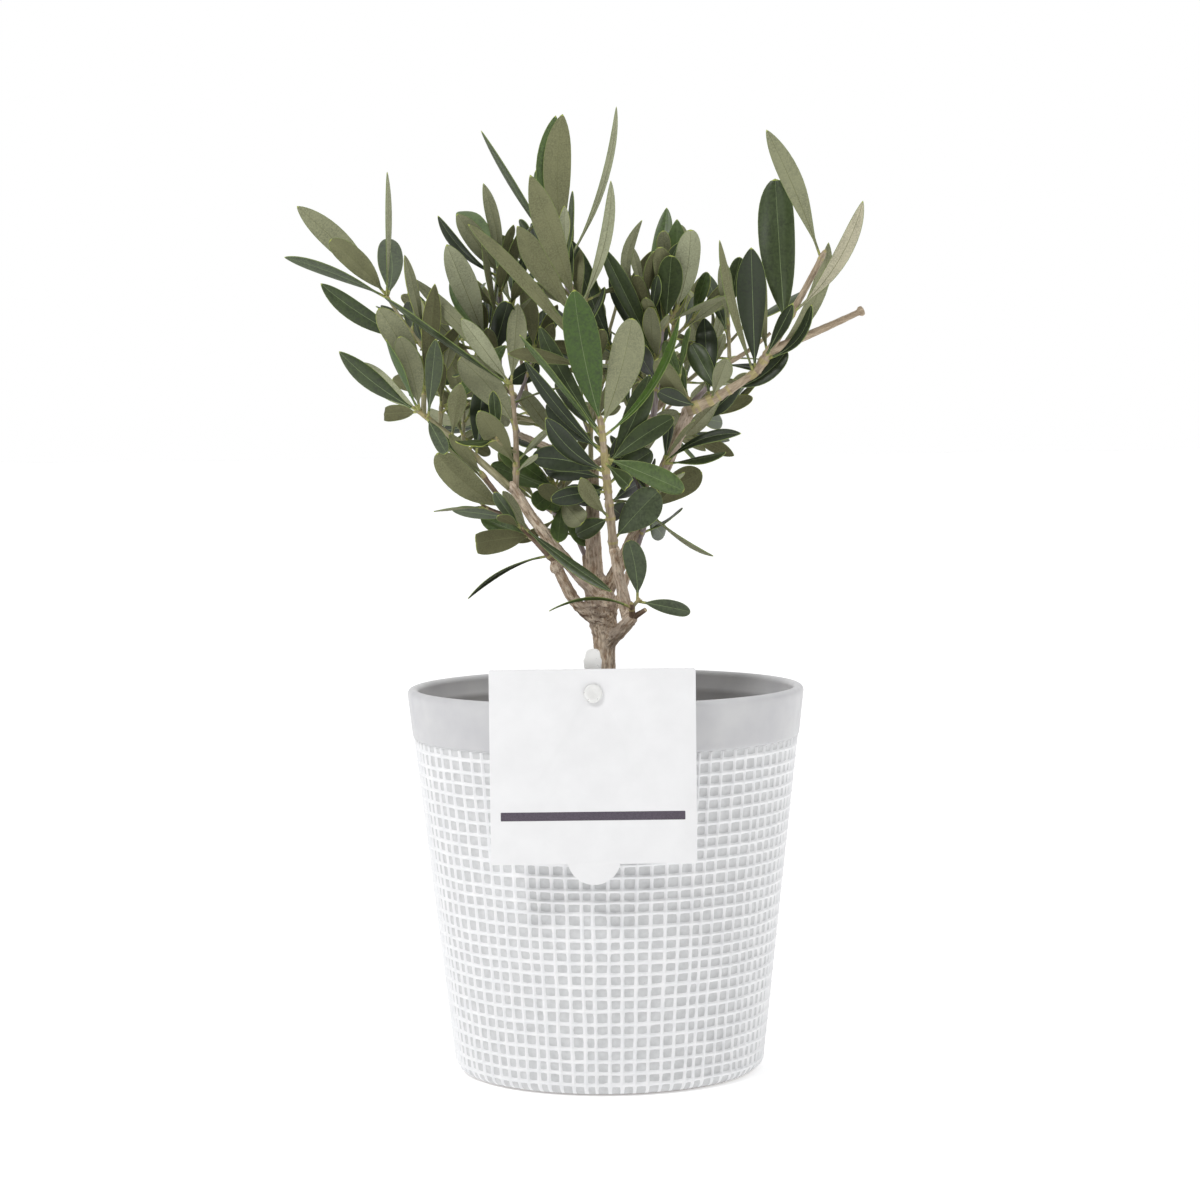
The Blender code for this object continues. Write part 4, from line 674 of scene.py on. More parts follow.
# The masses of foliage. Each shoot is (the shoot it grows on, how far up that, tip, thickness), and then
# (leaf pairs, leaf length, turn of the last pair, opening angle) if it bears leaves by the rule, or a sag
# of its own if it doesn't; the first is the stem, from the bough's tip. Each leaf is (its shoot, how far
# up that, tip, width, turn of its face, sag, sweep to its left, colours); at a turn of 0 the pale underside
# faces the front. The colours, upper and under, are places in the lists of the leaves' finishes: paler
# tones are painted light on leaves that the light catches, darker tones are painted shade on leaves deep
# in the crown, and other tones mark leaves that are younger than their spray. The leaves of the rule stand
# in pairs at right angles to each other, within the space: an ellipsoid's centre and half-axes.
masses = {
    "low_left_leaves": {
        "bough": "low_left_bough", "seed": 11, "space": ((-32, -8, 190), (40, 30, 34)),
        "shoots": [
            (0, 0, (-39, -9, 196), 2.4, 2, 22, 70, 30),
        ],
        "leaves": [
            (0, 0.62, (-53.5, -18, 203.5), 9.5, 0, 0.03, 0.06, (2, 1)),
            (0, 0.50, (-50, -2, 184), 4.5, 150, -0.03, -0.03, (2, 1)),
            (0, 0.30, (-43.5, -14, 174), 8, 0, 0.03, -0.02, (0, 0)),
            (0, 0.06, (-45, -16, 155), 4, 116, 0.0, -0.09, (0, 1)),
            (0, 0.42, (2.4, -13, 158.6), 4.2, 150, -0.03, -0.03, (1, 1)),
        ],
    },
    "left_outer_leaves": {
        "bough": "left_bough", "seed": 12, "space": ((-66, -6, 240), (45, 45, 60)),
        "aside": (-1.6, -0.5, 0.2), "bow": -0.03,
        "shoots": [
            (0, 0, (-60, -12, 217.5), 2.5),
            (0, 0.93, (-57.5, -6, 237), 1.9, 3, 24, 80, 30),
            (1, 1.0, (-70, -4, 255), 1.5, 2, 20, 60, 25),
            (0, 0.5, (-46, 20, 218), 1.5, 3, 22, 60, 30),
            (0, 0.75, (-52, 6, 234), 1.5, 3, 24, 20, 25),
        ],
        "leaves": [
            (0, 0.97, (-84.3, -20, 236.5), 6.6, 170, -0.03, 0.035, (1, 1)),
            (0, 0.97, (-64.6, -34, 241), 7.6, 3, 0.03, -0.03, (3, 2)),
            (0, 0.97, (-68.4, -20, 240), 5.5, 122, 0.0, 0.02, (4, 2)),
            (0, 0.97, (-72.5, -20, 216), 5.6, 8, 0.0, 0.0, (1, 0)),
            (0, 0.90, (-50, -12, 203.5), 5, 180, 0.0),
            (2, 1.0, (-99.5, 8, 284.4), 8.0, 0, -0.02, -0.02, (3, 2)),
            (2, 0.97, (-87, -26, 272.2), 7.4, 5, 0.03, -0.03, (3, 1)),
            (2, 0.92, (-103.5, 12, 267.6), 5, 137, -0.02, -0.045, (2, 1)),
            (2, 0.95, (-70.8, 4, 274), 8.4, 182, 0.0, -0.05, (2, 1)),
            (2, 1.0, (-67.0, -22, 292.6), 4.2, 68, 0.02, 0.01, (1, 3)),
            (2, 0.1, (-90.5, -12, 258.5), 6.5, 170, -0.03, 0.04, (1, 1)),
            (1, 0.42, (-71.3, -32, 250), 8.4, 2, 0.05, -0.02, (1, 2)),
            (1, 1.0, (-63, -8, 267.2), 4.2, 30, 0.0, -0.02, (1, 2)),
            (0, 0.35, (-39, -16, 225), 6.5, 180, 0.0, 0.0, (0, 1)),
            (0, 0.62, (-45, -18, 226), 6, 0, 0.02, 0.0, (0, 1)),
            (1, 0.3, (-53.5, -14, 258), 6.0, 10, 0.0),
            (0, 0.93, (-78.5, -6, 233), 6.4, 0, 0.0, 0.03),
            (0, 0.88, (-52.5, -24, 240), 6.0, 165, 0.0),
            (0, 0.45, (-33, -12, 210), 5, 170, 0.0),
            (4, 0.2, (-31, 4, 238), 6, 175, 0.0),
        ],
    },
    "left_upright_leaves": {
        "bough": "left_bough", "seed": 13, "space": ((-34, -16, 225), (42, 36, 40)),
        "aside": (1.5, -0.2, 0.9), "bow": (1.5, 0, 0),
        "shoots": [
            (0, 0, (-29.5, -16, 226), 2.1),
            (0, 0.3, (-34, -28, 208), 1.2, 1, 18, 40, 30),
        ],
        "leaves": [
            (0, 1.0, (-69, -34, 253.6), 5.4, 114, -0.02, 0.0, (1, 3)),
            (0, 0.98, (-44.8, -34, 246.5), 6.4, 0, 0.03, 0.0, (1, 3)),
            (0, 0.9, (-62, 2, 260.5), 4.8, 10, 0.02, -0.03, (1, 2)),
            (0, 0.98, (-27, -26, 251.5), 6.5, 10, 0.0, 0.0, (1, 2)),
            (0, 0.17, (-39, -28, 217.2), 8, 0, 0.02, 0.0, (2, 1)),
            (0, 0.55, (-46, -16, 234), 10, 0, 0.05, -0.06, (1, 2)),
            (0, 0.2, (-17, -24, 211), 4, 60, 0.0),
            (0, 0.1, (-21, -20, 203), 3, 50, 0.0),
        ],
    },
    "left_back_leaves": {
        "bough": "cross_bough", "seed": 14, "space": ((-38, 8, 245), (36, 36, 52)),
        "shoots": [
            (0, 0, (-38, 8, 240), 2.0, 3, 26, 20, 25),
            (0, 0.55, (-33, 6, 262), 1.6, 5, 27, 30, 22),
            (0, 0.75, (-47, 16, 243), 1.5, 4, 24, 30, 30),
            (0, 0.3, (-40, 22, 222), 1.5, 3, 22, 60, 30),
            (0, 0.2, (-22, 12, 236), 1.5, 3, 24, 20, 25),
        ],
        "leaves": [
            (0, 1.0, (-49.3, -20, 270.3), 8.6, 0, 0.0, 0.0, (2, 3)),
            (0, 1.0, (-50, 4, 259), 6, 170, 0.0, 0.0, (3, 1)),
            (1, 0.95, (-52.5, 0, 280), 5, 125, -0.05, 0.03, (0, 1)),
            (1, 1.0, (-48, 14, 283), 8, 180, -0.06, -0.06, (3, 1)),
            (1, 0.98, (-46, -4, 280), 7, 0, 0.02, 0.0, (1, 2)),
            (1, 1.0, (-37.8, -6, 290.4), 4.6, 5, 0.02, -0.04, (2, 2)),
            (1, 0.4, (-38.3, -22, 271), 4.6, 70, 0.0, 0.0, (1, 1)),
            (0, 0.8, (-30, -6, 252), 7.5, 175, 0.0, 0.0, (0, 0)),
            (0, 0.5, (-21, -4, 232), 7, 170, 0.0, 0.0, (0, 1)),
        ],
    },
    "front_leaves": {
        "bough": "front_bough", "seed": 15, "space": ((-6, -16, 235), (42, 34, 84)),
        "bow": 0.0,
        "shoots": [
            (0, 0, (-0.5, -18, 213), 3.0),
            (0, 0.92, (-11.5, -8, 268), 1.8, 4, 26, 20, 22),
            (1, 0.62, (-4, 0, 256), 1.3, 3, 26, 70, 28),
        ],
        "leaves": [
            (0, 0.98, (-8.6, -36, 255), 11.6, 185, 0.04, 0.02, (4, 2)),
            (0, 0.96, (9.8, -34, 246), 10.6, 0, 0.02, -0.03, (3, 2)),
            (0, 0.88, (24.8, -24, 246.3), 5.2, 125, 0.06, -0.05, (4, 2)),
            (0, 0.62, (15.4, -28, 228), 8.2, 178, 0.03, -0.04, (1, 1)),
            (0, 0.86, (-26, -24, 241), 5, 120, 0.05, 0.04, (3, 1)),
            (0, 0.90, (-20, -14, 244), 6.5, 172, 0.02, 0.04, (1, 1)),
            (0, 0.78, (-18, -22, 219), 6.4, 175, -0.03, 0.04, (0, 1)),
            (0, 0.62, (-18, -34, 214.8), 6.8, 178, -0.03, 0.06, (0, 1)),
            (0, 0.72, (26, -36, 190.4), 7.2, 190, -0.05, 0.02, (3, 2)),
            (0, 0.68, (10, -28, 191), 5, 190, 0.0, 0.0, (1, 2)),
            (0, 0.24, (-7.2, -28, 195.4), 5.4, 0, 0.0, 0.04, (2, 1)),
            (0, 0.06, (18, -15, 190), 11.2, 172, 0.0, 0.02, (2, 1)),
            (0, 0.60, (-23, -4, 201.5), 8, 175, 0.0, -0.06, (0, 0)),
            (0, 0.55, (-19, -10, 196), 7, 170, -0.03, -0.05, (0, 1)),
            (0, 0.45, (-17, -4, 188), 6, 175, 0.0, -0.04, (0, 0)),
            (0, 0.50, (16, -4, 203), 8, 180, 0.0, 0.03, (1, 1)),
            (0, 0.35, (17, -2, 194), 7, 180, 0.0, 0.03, (0, 0)),
            (0, 0.66, (23, -4, 214), 7, 180, 0.0, 0.03, (1, 1)),
            (0, 0.70, (12, -6, 208), 8, 175, 0.0, 0.0, (0, 1)),
            (1, 0.72, (-22, -24, 291), 8.6, 0, 0.03, -0.01, (1, 1)),
            (1, 0.74, (-21, 4, 295), 8, 180, 0.02, 0.0, (3, 1)),
            (1, 1.0, (-11.8, -18, 312.2), 9.2, 0, 0.03, 0.05, (2, 1)),
            (1, 1.0, (-14.0, -2, 311.8), 8.6, 180, 0.03, 0.07, (3, 2)),
            (1, 0.94, (5.7, -4, 316.2), 3.2, 40, 0.0, -0.06, (2, 3)),
            (1, 0.9, (-37.6, -14, 305.8), 4.6, 118, -0.04, -0.02, (2, 1)),
            (1, 0.92, (-8.8, -18, 287), 4.4, 120, 0.0, 0.0, (2, 1)),
            (1, 0.66, (3.5, -20, 290.6), 4.4, 20, 0.03, -0.06, (2, 3)),
            (1, 0.6, (-27, 2, 276.5), 8, 0, 0.03, 0.0, (1, 1)),
            (1, 0.42, (-42.6, -34, 276.8), 5.4, 18, 0.03, -0.02, (1, 1)),
            (1, 0.35, (-30, -14, 235), 5, 20, -0.03, -0.05),
            (0, 0.74, (-24.7, -26, 233), 5.4, 150, 0.03, 0.05, (0, 1)),
            (0, 0.62, (9, -8, 200), 7.5, 180, 0.0, 0.03, (0, 0)),
            (0, 0.35, (6, 8, 182), 7, 175, 0.0, 0.0, (0, 1)),
            (0, 0.50, (-10, -14, 187), 7.5, 180, 0.0, 0.0, (0, 0)),
            (0, 0.25, (-9, 14, 176), 6.5, 170, 0.0, 0.0, (1, 0)),
        ],
    },
    "centre_right_leaves": {
        "bough": "inner_bough", "seed": 16, "space": ((17, 8, 245), (32, 38, 44)),
        "shoots": [
            (0, 0, (20, 7, 243), 2.2, 3, 26, 0, 30),
            (0, 0.6, (13.5, 4, 257), 1.5, 4, 24, 30, 30),
            (0, 1.0, (25, 4, 250), 1.5, 2, 24, 60, 22),
            (0, 0.8, (31, 12, 247), 1.3, 3, 20, 30, 25),
            (0, 0.3, (4, 14, 236), 1.5, 4, 24, 20, 28),
        ],
        "leaves": [
            (1, 0.05, (0.4, -10, 269.5), 6.4, 172, 0.0, 0.0, (1, 1)),
            (1, 1.0, (22, 6, 283), 6, 170, 0.03, -0.06, (3, 2)),
            (1, 0.7, (13.6, 0, 278), 4.4, 25, 0.12, 0.26, (3, 2)),
            (1, 0.8, (10.2, -6, 270.6), 3.8, 30, 0.0, 0.0, (3, 2)),
            (4, 1.0, (-9.5, 4, 272), 7.4, 170, 0.0, 0.02, (1, 1)),
            (2, 0.8, (29, -12, 274.5), 8.5, 5, 0.03, -0.04, (2, 3)),
            (2, 0.9, (26, -4, 277), 7, 0, 0.03, 0.0, (1, 2)),
            (2, 1.0, (25, 10, 278.5), 7, 180, 0.0, 0.0, (3, 1)),
            (2, 0.2, (22.8, -30, 266.2), 8.2, 180, 0.03, 0.0, (1, 1)),
            (2, 0.6, (19, 0, 269), 7, 0, 0.0, 0.0, (1, 1)),
            (3, 0.9, (35, 10, 261.5), 5, 150, 0.0),
            (0, 0.6, (3, 14, 262), 8, 175, 0.0, 0.0, (0, 0)),
            (0, 0.4, (10, -6, 238), 7, 175, 0.0, 0.0, (0, 1)),
            (0, 0.3, (22, -4, 226), 7, 0, 0.0, 0.0, (0, 0)),
        ],
    },
    "right_outer_leaves": {
        "bough": "right_bough", "seed": 17,
        "aside": (0.7, -1.6, -0.2), "bow": 0.07,
        "shoots": [
            (0, 0, (51, -1, 229), 3.7),
            (0, 0.98, (72, -6, 266), 3.0, 0.05),
            (1, 0.18, (86.6, 8, 248.6), 3.2, 0.02),
        ],
        "leaves": [
            (1, 1.0, (54, -6, 306.6), 6.9, 0, -0.03, -0.02, (3, 2)),
            (1, 0.50, (84.2, -28, 282.8), 5.6, 14, 0.04, -0.07, (2, 4)),
            (1, 0.08, (74.5, 12, 270.5), 5.6, 0, -0.02, -0.12, (3, 2)),
            (1, 0.40, (57.4, -10, 291.6), 12.4, 180, 0.02, 0.0, (1, 1)),
            (1, 0.15, (52.6, 38, 266.5), 5.6, 0, 0.0, 0.02, (1, 1)),
            (0, 0.95, (48.6, -10, 268.6), 9.8, 180, 0.02, 0.0, (0, 1)),
            (0, 0.93, (37.8, -36, 270.5), 3.6, 34, 0.0, 0.02, (3, 1)),
            (1, 0.10, (61.5, -10, 250), 4.6, 165, 0.0, 0.0, (0, 1)),
            (0, 0.55, (60.5, -16, 235.2), 6.4, 165, 0.0, -0.10, (0, 0)),
            (1, 0.10, (67.5, -4, 249.8), 4.8, 140, 0.0, -0.14, (0, 1)),
            (0, 0.55, (27, 6, 207.5), 5, 0, 0.03, 0.0),
            (0, 0.88, (34, 0, 213.5), 5.5, 170, 0.0, 0.0),
            (0, 0.28, (40, -14, 233), 6, 10, 0.0, 0.0, (1, 2)),
            (0, 0.25, (34, -4, 246.5), 7.4, 180, 0.0, 0.0, (0, 1)),
            (0, 0.03, (17.6, 6, 233), 6.5, 0, 0.0, 0.04, (1, 1)),
            (0, 0.10, (18, -12, 222.5), 5.5, 178, 0.0, 0.03, (0, 0)),
            (0, 0.40, (29.5, -2, 238), 7, 176, 0.0, 0.0, (1, 1)),
        ],
    },
    "right_inner_leaves": {
        "bough": "right_bough", "seed": 18, "space": ((36, 10, 238), (30, 34, 42)),
        "aside": (-0.6, 1.4, 0.6), "bow": 0.04,
        "shoots": [
            (0, 0, (42, 8, 232), 2.0),
            (0, 1.0, (41.5, 6, 252), 1.4, 1, 17, 0, 14),
            (0, 0.97, (56, 12, 241.5), 1.7),
            (0, 0.10, (25, -4, 226), 1.4, 3, 20, 30, 30),
            (0, 0.5, (36, 24, 238), 1.4, 4, 22, 30, 28),
        ],
        "leaves": [
            (1, 0.8, (45.5, 2, 266), 5.5, 180, 0.0),
            (1, 0.9, (35, 6, 250), 4, 20, 0.0),
            (1, 0.6, (39.5, 0, 265), 5, 10, 0.0),
            (1, 0.4, (35, 10, 262), 5, 175, 0.0),
        ],
    },
    "low_right_leaves": {
        "bough": "low_right_bough", "seed": 19, "space": ((18, 0, 186), (34, 26, 30)),
        "bow": 0.06,
        "shoots": [
            (0, 0, (20, -3, 199.5), 1.8, 3, 22, 40, 35),
            (0, 0.5, (10, 4, 196), 1.2, 3, 20, 20, 30),
        ],
        "leaves": [
            (0, 1.0, (45, -8, 208.5), 5, 130, -0.04, 0.08, (0, 1)),
            (0, 0.5, (32.4, -10, 195.8), 9.0, 0, -0.03, 0.06, (2, 0)),
            (0, 0.5, (35.5, -4, 169), 4, 68, 0.0, -0.04),
            (0, 0.45, (20, 4, 174), 6, 170, -0.03, 0.0, (1, 1)),
        ],
    },
    "spur_leaves": {
        "bough": "low_spur", "seed": 20,
        "bow": 0.0,
        "shoots": [
            (0, 0, (13.4, -11, 151.8), 2.4),
            (0, 0.08, (8.8, -12, 153.2), 2.6, 0.0),
            (1, 0.85, (10.8, -12.6, 154.8), 1.5, 0.0),
        ],
        "leaves": [
            (2, 0.9, (7.8, -14, 174.5), 7.2, 180, 0.02, -0.05, (2, 1)),
            (2, 0.9, (28, -16, 150.5), 5.2, 165, -0.03, 0.0, (2, 1)),
            (1, 0.8, (-18, -18, 152.6), 2.8, 118, 0.0, -0.12, (4, 1)),
        ],
    },
    "low_back_leaves": {
        "bough": "low_back_bough", "seed": 24, "space": ((-16, 12, 190), (28, 28, 32)),
        "bow": 0.06,
        "shoots": [
            (0, 0, (-16, 10, 192), 1.8, 3, 22, 20, 36),
            (0, 0.5, (-22, 22, 186), 1.3, 4, 22, 50, 35),
        ],
        "leaves": [
            (0, 0.95, (-22.5, 2, 185), 7, 180, 0.0),
            (0, 0.98, (-17.5, -2, 183.5), 7, 180, 0.0),
            (0, 0.75, (-15, 0, 174), 6, 175, 0.0),
            (0, 1.0, (-12, 2, 180), 7, 180, 0.0),
            (0, 0.9, (-6, -1, 190), 6, 170, 0.0),
            (0, 0.7, (-5, 6, 172), 6, 175, 0.0),
            (0, 0.35, (-4, -2, 182), 6.5, 0, 0.0),
            (0, 0.8, (-7, 0, 180), 8, 0, 0.0),
            (0, 0.6, (-27, 4, 200), 6, 170, 0.0),
            (0, 0.95, (-34, 0, 205), 6.5, 175, 0.0),
            (0, 0.9, (-37, 8, 199), 6, 175, 0.0),
        ],
    },
    "back_left_leaves": {
        "bough": "back_bough", "seed": 21, "space": ((-36, 40, 232), (46, 44, 48)),
        "aside": (-1.0, 0.6, 0.2),
        "shoots": [
            (0, 0, (-32, 42, 224), 1.9, 2, 24, 40, 30),
            (0, 0.9, (-54, 36, 246), 1.5, 4, 26, 20, 28),
            (0, 0.7, (-30, 50, 252), 1.5, 4, 26, 50, 28),
            (0, 0.4, (-30, 62, 222), 1.5, 3, 24, 20, 30),
            (0, 0.6, (-52, 50, 222), 1.4, 3, 24, 20, 30),
        ],
    },
    "back_right_leaves": {
        "bough": "back_bough", "seed": 22, "space": ((32, 40, 232), (46, 44, 48)),
        "aside": (1.0, 0.6, 0.2),
        "shoots": [
            (0, 0, (28, 40, 226), 1.9, 2, 24, 40, 30),
            (0, 0.9, (48, 34, 244), 1.5, 4, 26, 20, 28),
            (0, 0.7, (26, 50, 254), 1.5, 4, 26, 50, 28),
            (0, 0.4, (26, 62, 220), 1.5, 3, 24, 20, 30),
            (0, 0.5, (42, 44, 216), 1.4, 3, 24, 20, 30),
        ],
    },
    "back_top_leaves": {
        "bough": "back_bough", "seed": 23, "space": ((-4, 34, 250), (34, 36, 50)),
        "aside": (0.0, -1.0, 0.3),
        "shoots": [
            (0, 0, (-4, 32, 240), 1.8, 2, 24, 40, 30),
            (0, 0.8, (-14, 30, 268), 1.5, 4, 26, 20, 24),
            (0, 0.6, (8, 38, 262), 1.5, 4, 26, 50, 24),
            (0, 0.3, (2, 56, 234), 1.4, 3, 24, 50, 24),
        ],
    },
}


# How a limb, a twig and a leaf are drawn when they are kept clear of each other.
growth = {
    "gap": 0.3, "trunkSides": 12, "limbSides": 8, "limbSteps": 6, "stubDrop": 10.0, "stubLow": 139.0,
    "stubHigh": 150.0, "stubSwell": 1.15, "stubSteps": 4, "twigSides": 3, "twigSteps": 4, "twigTaper": 0.6,
    "twigTip": 0.45, "leafThick": 0.7, "stalkThick": 0.6, "low": 0.42, "lowWide": 0.82, "high": 0.80,
    "highWide": 0.94, "crown": 0.60, "stalk": 0.14, "clear": 0.5, "tries": 12, "slim": 0.21, "broad": 0.29,
    "pairsFrom": 0.30, "pairsTo": 0.98, "leafTop": 0.97, "stemSag": 0.06, "shootSag": 0.08,
    # a pair opens wider and its leaves are shorter for each pair between it and the shoot's tip
    "openMore": 12, "openMost": 62, "shorter": 0.12, "shorterFor": 2.5, "sizes": (0.86, 1.12), "lift": 0.12,
    "strayTurn": 8, "strayOpening": 5, "strayFace": 22, "sags": (-0.05, 0.07),
    # where along a leaf the light is looked for, and how much of its width counts there
    "looks": ((0.35, 0.4), (0.6, 0.4), (0.8, 0.4), (1.0, 0.0)),
    "depthSteps": (0, 10, -9, 17, -14),
    "nudges": ((0, 0), (3, 8), (-3, -8), (6, 16), (-6, -16), (9, 20), (-9, -20), (12, 30), (-12, -30)),
}

# Young growth that the solids leave out: a small pair at each shoot's tip, and short sprigs from its nodes.
young = {
    "pair": (15, 20), "sprigPair": (17, 23), "sizes": (0.85, 1.1), "wide": 0.22, "sag": -0.03,
    "stray": 15, "opening": (14, 30), "tries": 5, "seedShift": 500,
    "nodes": (0.2, 0.35, 0.5, 0.65, 0.8), "share": 0.55, "shift": 0.05,
    "sprig": (6, 12), "room": 8, "roomWide": 5.0, "ahead": 0.75, "aside": 0.66, "lift": 0.15, "bow": 0.05,
    "radii": (0.62, 0.42), "keptRadii": (0.6, 0.4), "keptSteps": 2, "pairAt": 0.9,
    # masses whose shoots have none
    "bare": ("left_outer_leaves", "left_upright_leaves", "right_outer_leaves", "right_inner_leaves"),
}


def bent(start, end, bow):
    # a smooth curve that sags by bow of its length: point and direction at t
    chord = end - start
    middle = start + chord / 2
    if isinstance(bow, tuple):
        middle += Vector(bow)
    else:
        middle += (chord * (up.dot(chord) / chord.length_squared) - up) * (bow * chord.length)

    def at(t):
        point = start * (1 - t) ** 2 + middle * (2 * t * (1 - t)) + end * t**2
        way = (middle - start) * (1 - t) + (end - middle) * t
        return point, way.normalized()

    return at


def loft(rings, sides):
    # a closed tube through rings of (point, direction, radius)
    verts = []
    side = rings[0][1].orthogonal().normalized()
    for point, way, radius in rings:
        side = (side - way * side.dot(way)).normalized()
        other = way.cross(side)
        for j in range(sides):
            a = math.tau * j / sides
            verts.append(point + (side * math.cos(a) + other * math.sin(a)) * radius)
    last = len(verts) - sides
    ends = [tuple(range(sides - 1, -1, -1)), tuple(range(last, last + sides))]
    return verts, quads(len(rings), sides) + ends


def tube(path, startRadius, endRadius, sides, steps):
    rings = []
    for k in range(steps + 1):
        point, way = path(k / steps)
        rings.append((point, way, startRadius + (endRadius - startRadius) * k / steps))
    return loft(rings, sides)


def trunkCentre(z):
    for low, high in zip(trunkStations, trunkStations[1:]):
        if low[2] <= z <= high[2]:
            t = (z - low[2]) / (high[2] - low[2])
            return Vector(low[:3]).lerp(Vector(high[:3]), t)
    return Vector(trunkStations[-1][:3])


def trunkRings():
    points = [Vector(station[:3]) for station in trunkStations]
    rings = []
    for k, station in enumerate(trunkStations):
        way = up if k == 0 else (points[min(k + 1, len(points) - 1)] - points[k - 1]).normalized()
        rings.append((points[k], way, station[3]))
    return rings


def boughPath(bough):
    return bent(Vector(bough["from"]), Vector(bough["to"]), bough["bow"])


def stubPaths():
    # the stubs that the trunk forks into, each as (path, radius at its bough)
    found = []
    for bough in boughs.values():
        if "on" in bough:
            continue
        start, way = boughPath(bough)(0)
        root = trunkCentre(min(max(start.z - growth["stubDrop"], growth["stubLow"]), growth["stubHigh"]))
        end = start - way * growth["gap"]
        turn = end - way * (end - root).length * 0.5
        found.append((bent(root, end, tuple(turn - (root + end) / 2)), bough["thick"][0] / 2))
    return found


class Leaf:
    # a leaf from its root to its tip; its face is the direction that its upper side looks in
    def __init__(self, root, tip, face, wide, sag=0.0, sweep=0.0, tones=None):
        self.root, self.tip, self.face, self.wide = root, tip, face, wide
        way = (tip - root).normalized()
        left = way.cross(away)
        left = left.normalized() * sweep if left.length > 0.1 else Vector()
        self.bend = (left - face * sag) * (tip - root).length
        self.tones = tones

    def rib(self, t):
        return self.root.lerp(self.tip, t) + self.bend * (4 * t * (1 - t))

    def points(self, start, more):
        side = (self.tip - self.root).normalized().cross(self.face).normalized()
        half = (self.wide + more) / 2
        crown = self.face * ((growth["leafThick"] + more) / 2)
        low, high = side * half * growth["lowWide"], side * half * growth["highWide"]
        rim = [self.rib(growth["low"]) + low, self.rib(growth["high"]) + high, self.rib(1)]
        rim += [self.rib(growth["high"]) - high, self.rib(growth["low"]) - low]
        middle = self.rib(growth["crown"])
        return [self.rib(start), *rim, middle + crown, middle - crown]

    def shape(self):
        root, *others = self.points(0.0, 0.0)
        stalk = self.face * (growth["stalkThick"] / 2)
        faces = [(0, 1, 2), (1, 0, 6), (0, 2, 7), (6, 0, 7), (2, 1, 8), (1, 6, 8)]
        for a in range(2, 6):
            faces += [(a, a + 1, 7), (a + 1, a, 8)]
        return [root + stalk, root - stalk, *others], faces

    def room(self):
        faces = [face for a in range(6) for face in ((a, (a + 1) % 6, 6), ((a + 1) % 6, a, 7))]
        return self.points(growth["stalk"], growth["clear"]), faces


def frontFace(way, turn):
    # away from the front at a turn of 0, so that the underside shows, and turned about the leaf's way
    face = away - way * away.dot(way)
    if face.length < 0.2:
        face = up - way * up.dot(way)
    return Matrix.Rotation(math.radians(turn), 3, way) @ face.normalized()


def opened(way, sign, around, openBy, lift=0.0):
    # a leaf's way and face, turned about its shoot from the right or the left and opened from it by degrees
    right = Vector((1, 0, 0)) - way * way.x
    if right.length < 0.3:
        right = up - way * way.z
    out = Matrix.Rotation(math.radians(around), 3, way) @ right.normalized() * sign
    openBy = math.radians(openBy)
    go = (way * math.cos(openBy) + out * math.sin(openBy) + up * lift).normalized()
    return go, (way - go * way.dot(go)).normalized()


def bearing(name):
    # the shoots that bear leaves in pairs, as (its number, pairs, leaf length, turn, opening angle)
    return [(n, *row[4:]) for n, row in enumerate(masses[name]["shoots"]) if len(row) == 8]


def seen(point):
    near = eye[1] / (eye[1] + point.y)
    return eye[0] + (point.x - eye[0]) * near, eye[2] + (point.z - eye[2]) * near


def skyline(x):
    for (a, low), (b, high) in zip(skylineHeights, skylineHeights[1:]):
        if a <= x < b:
            return low + (high - low) * (x - a) / (b - a)
    return 0


def inTheOpen(leaf):
    for t, part in growth["looks"]:
        x, z = seen(leaf.rib(t))
        if z > skyline(x):
            return True
        for gapX, gapZ, radius in skyGaps:
            if math.hypot(x - gapX, z - gapZ) < radius + leaf.wide * part:
                return True
    return False


def either(rng, most):
    return rng.uniform(-most, most)


def insideReach(leaf):
    # young growth stays within the reach that the solids give the crown
    return all(cadBox[0][i] / mm + leaf.wide < leaf.tip[i] < cadBox[1][i] / mm - leaf.wide for i in range(3))


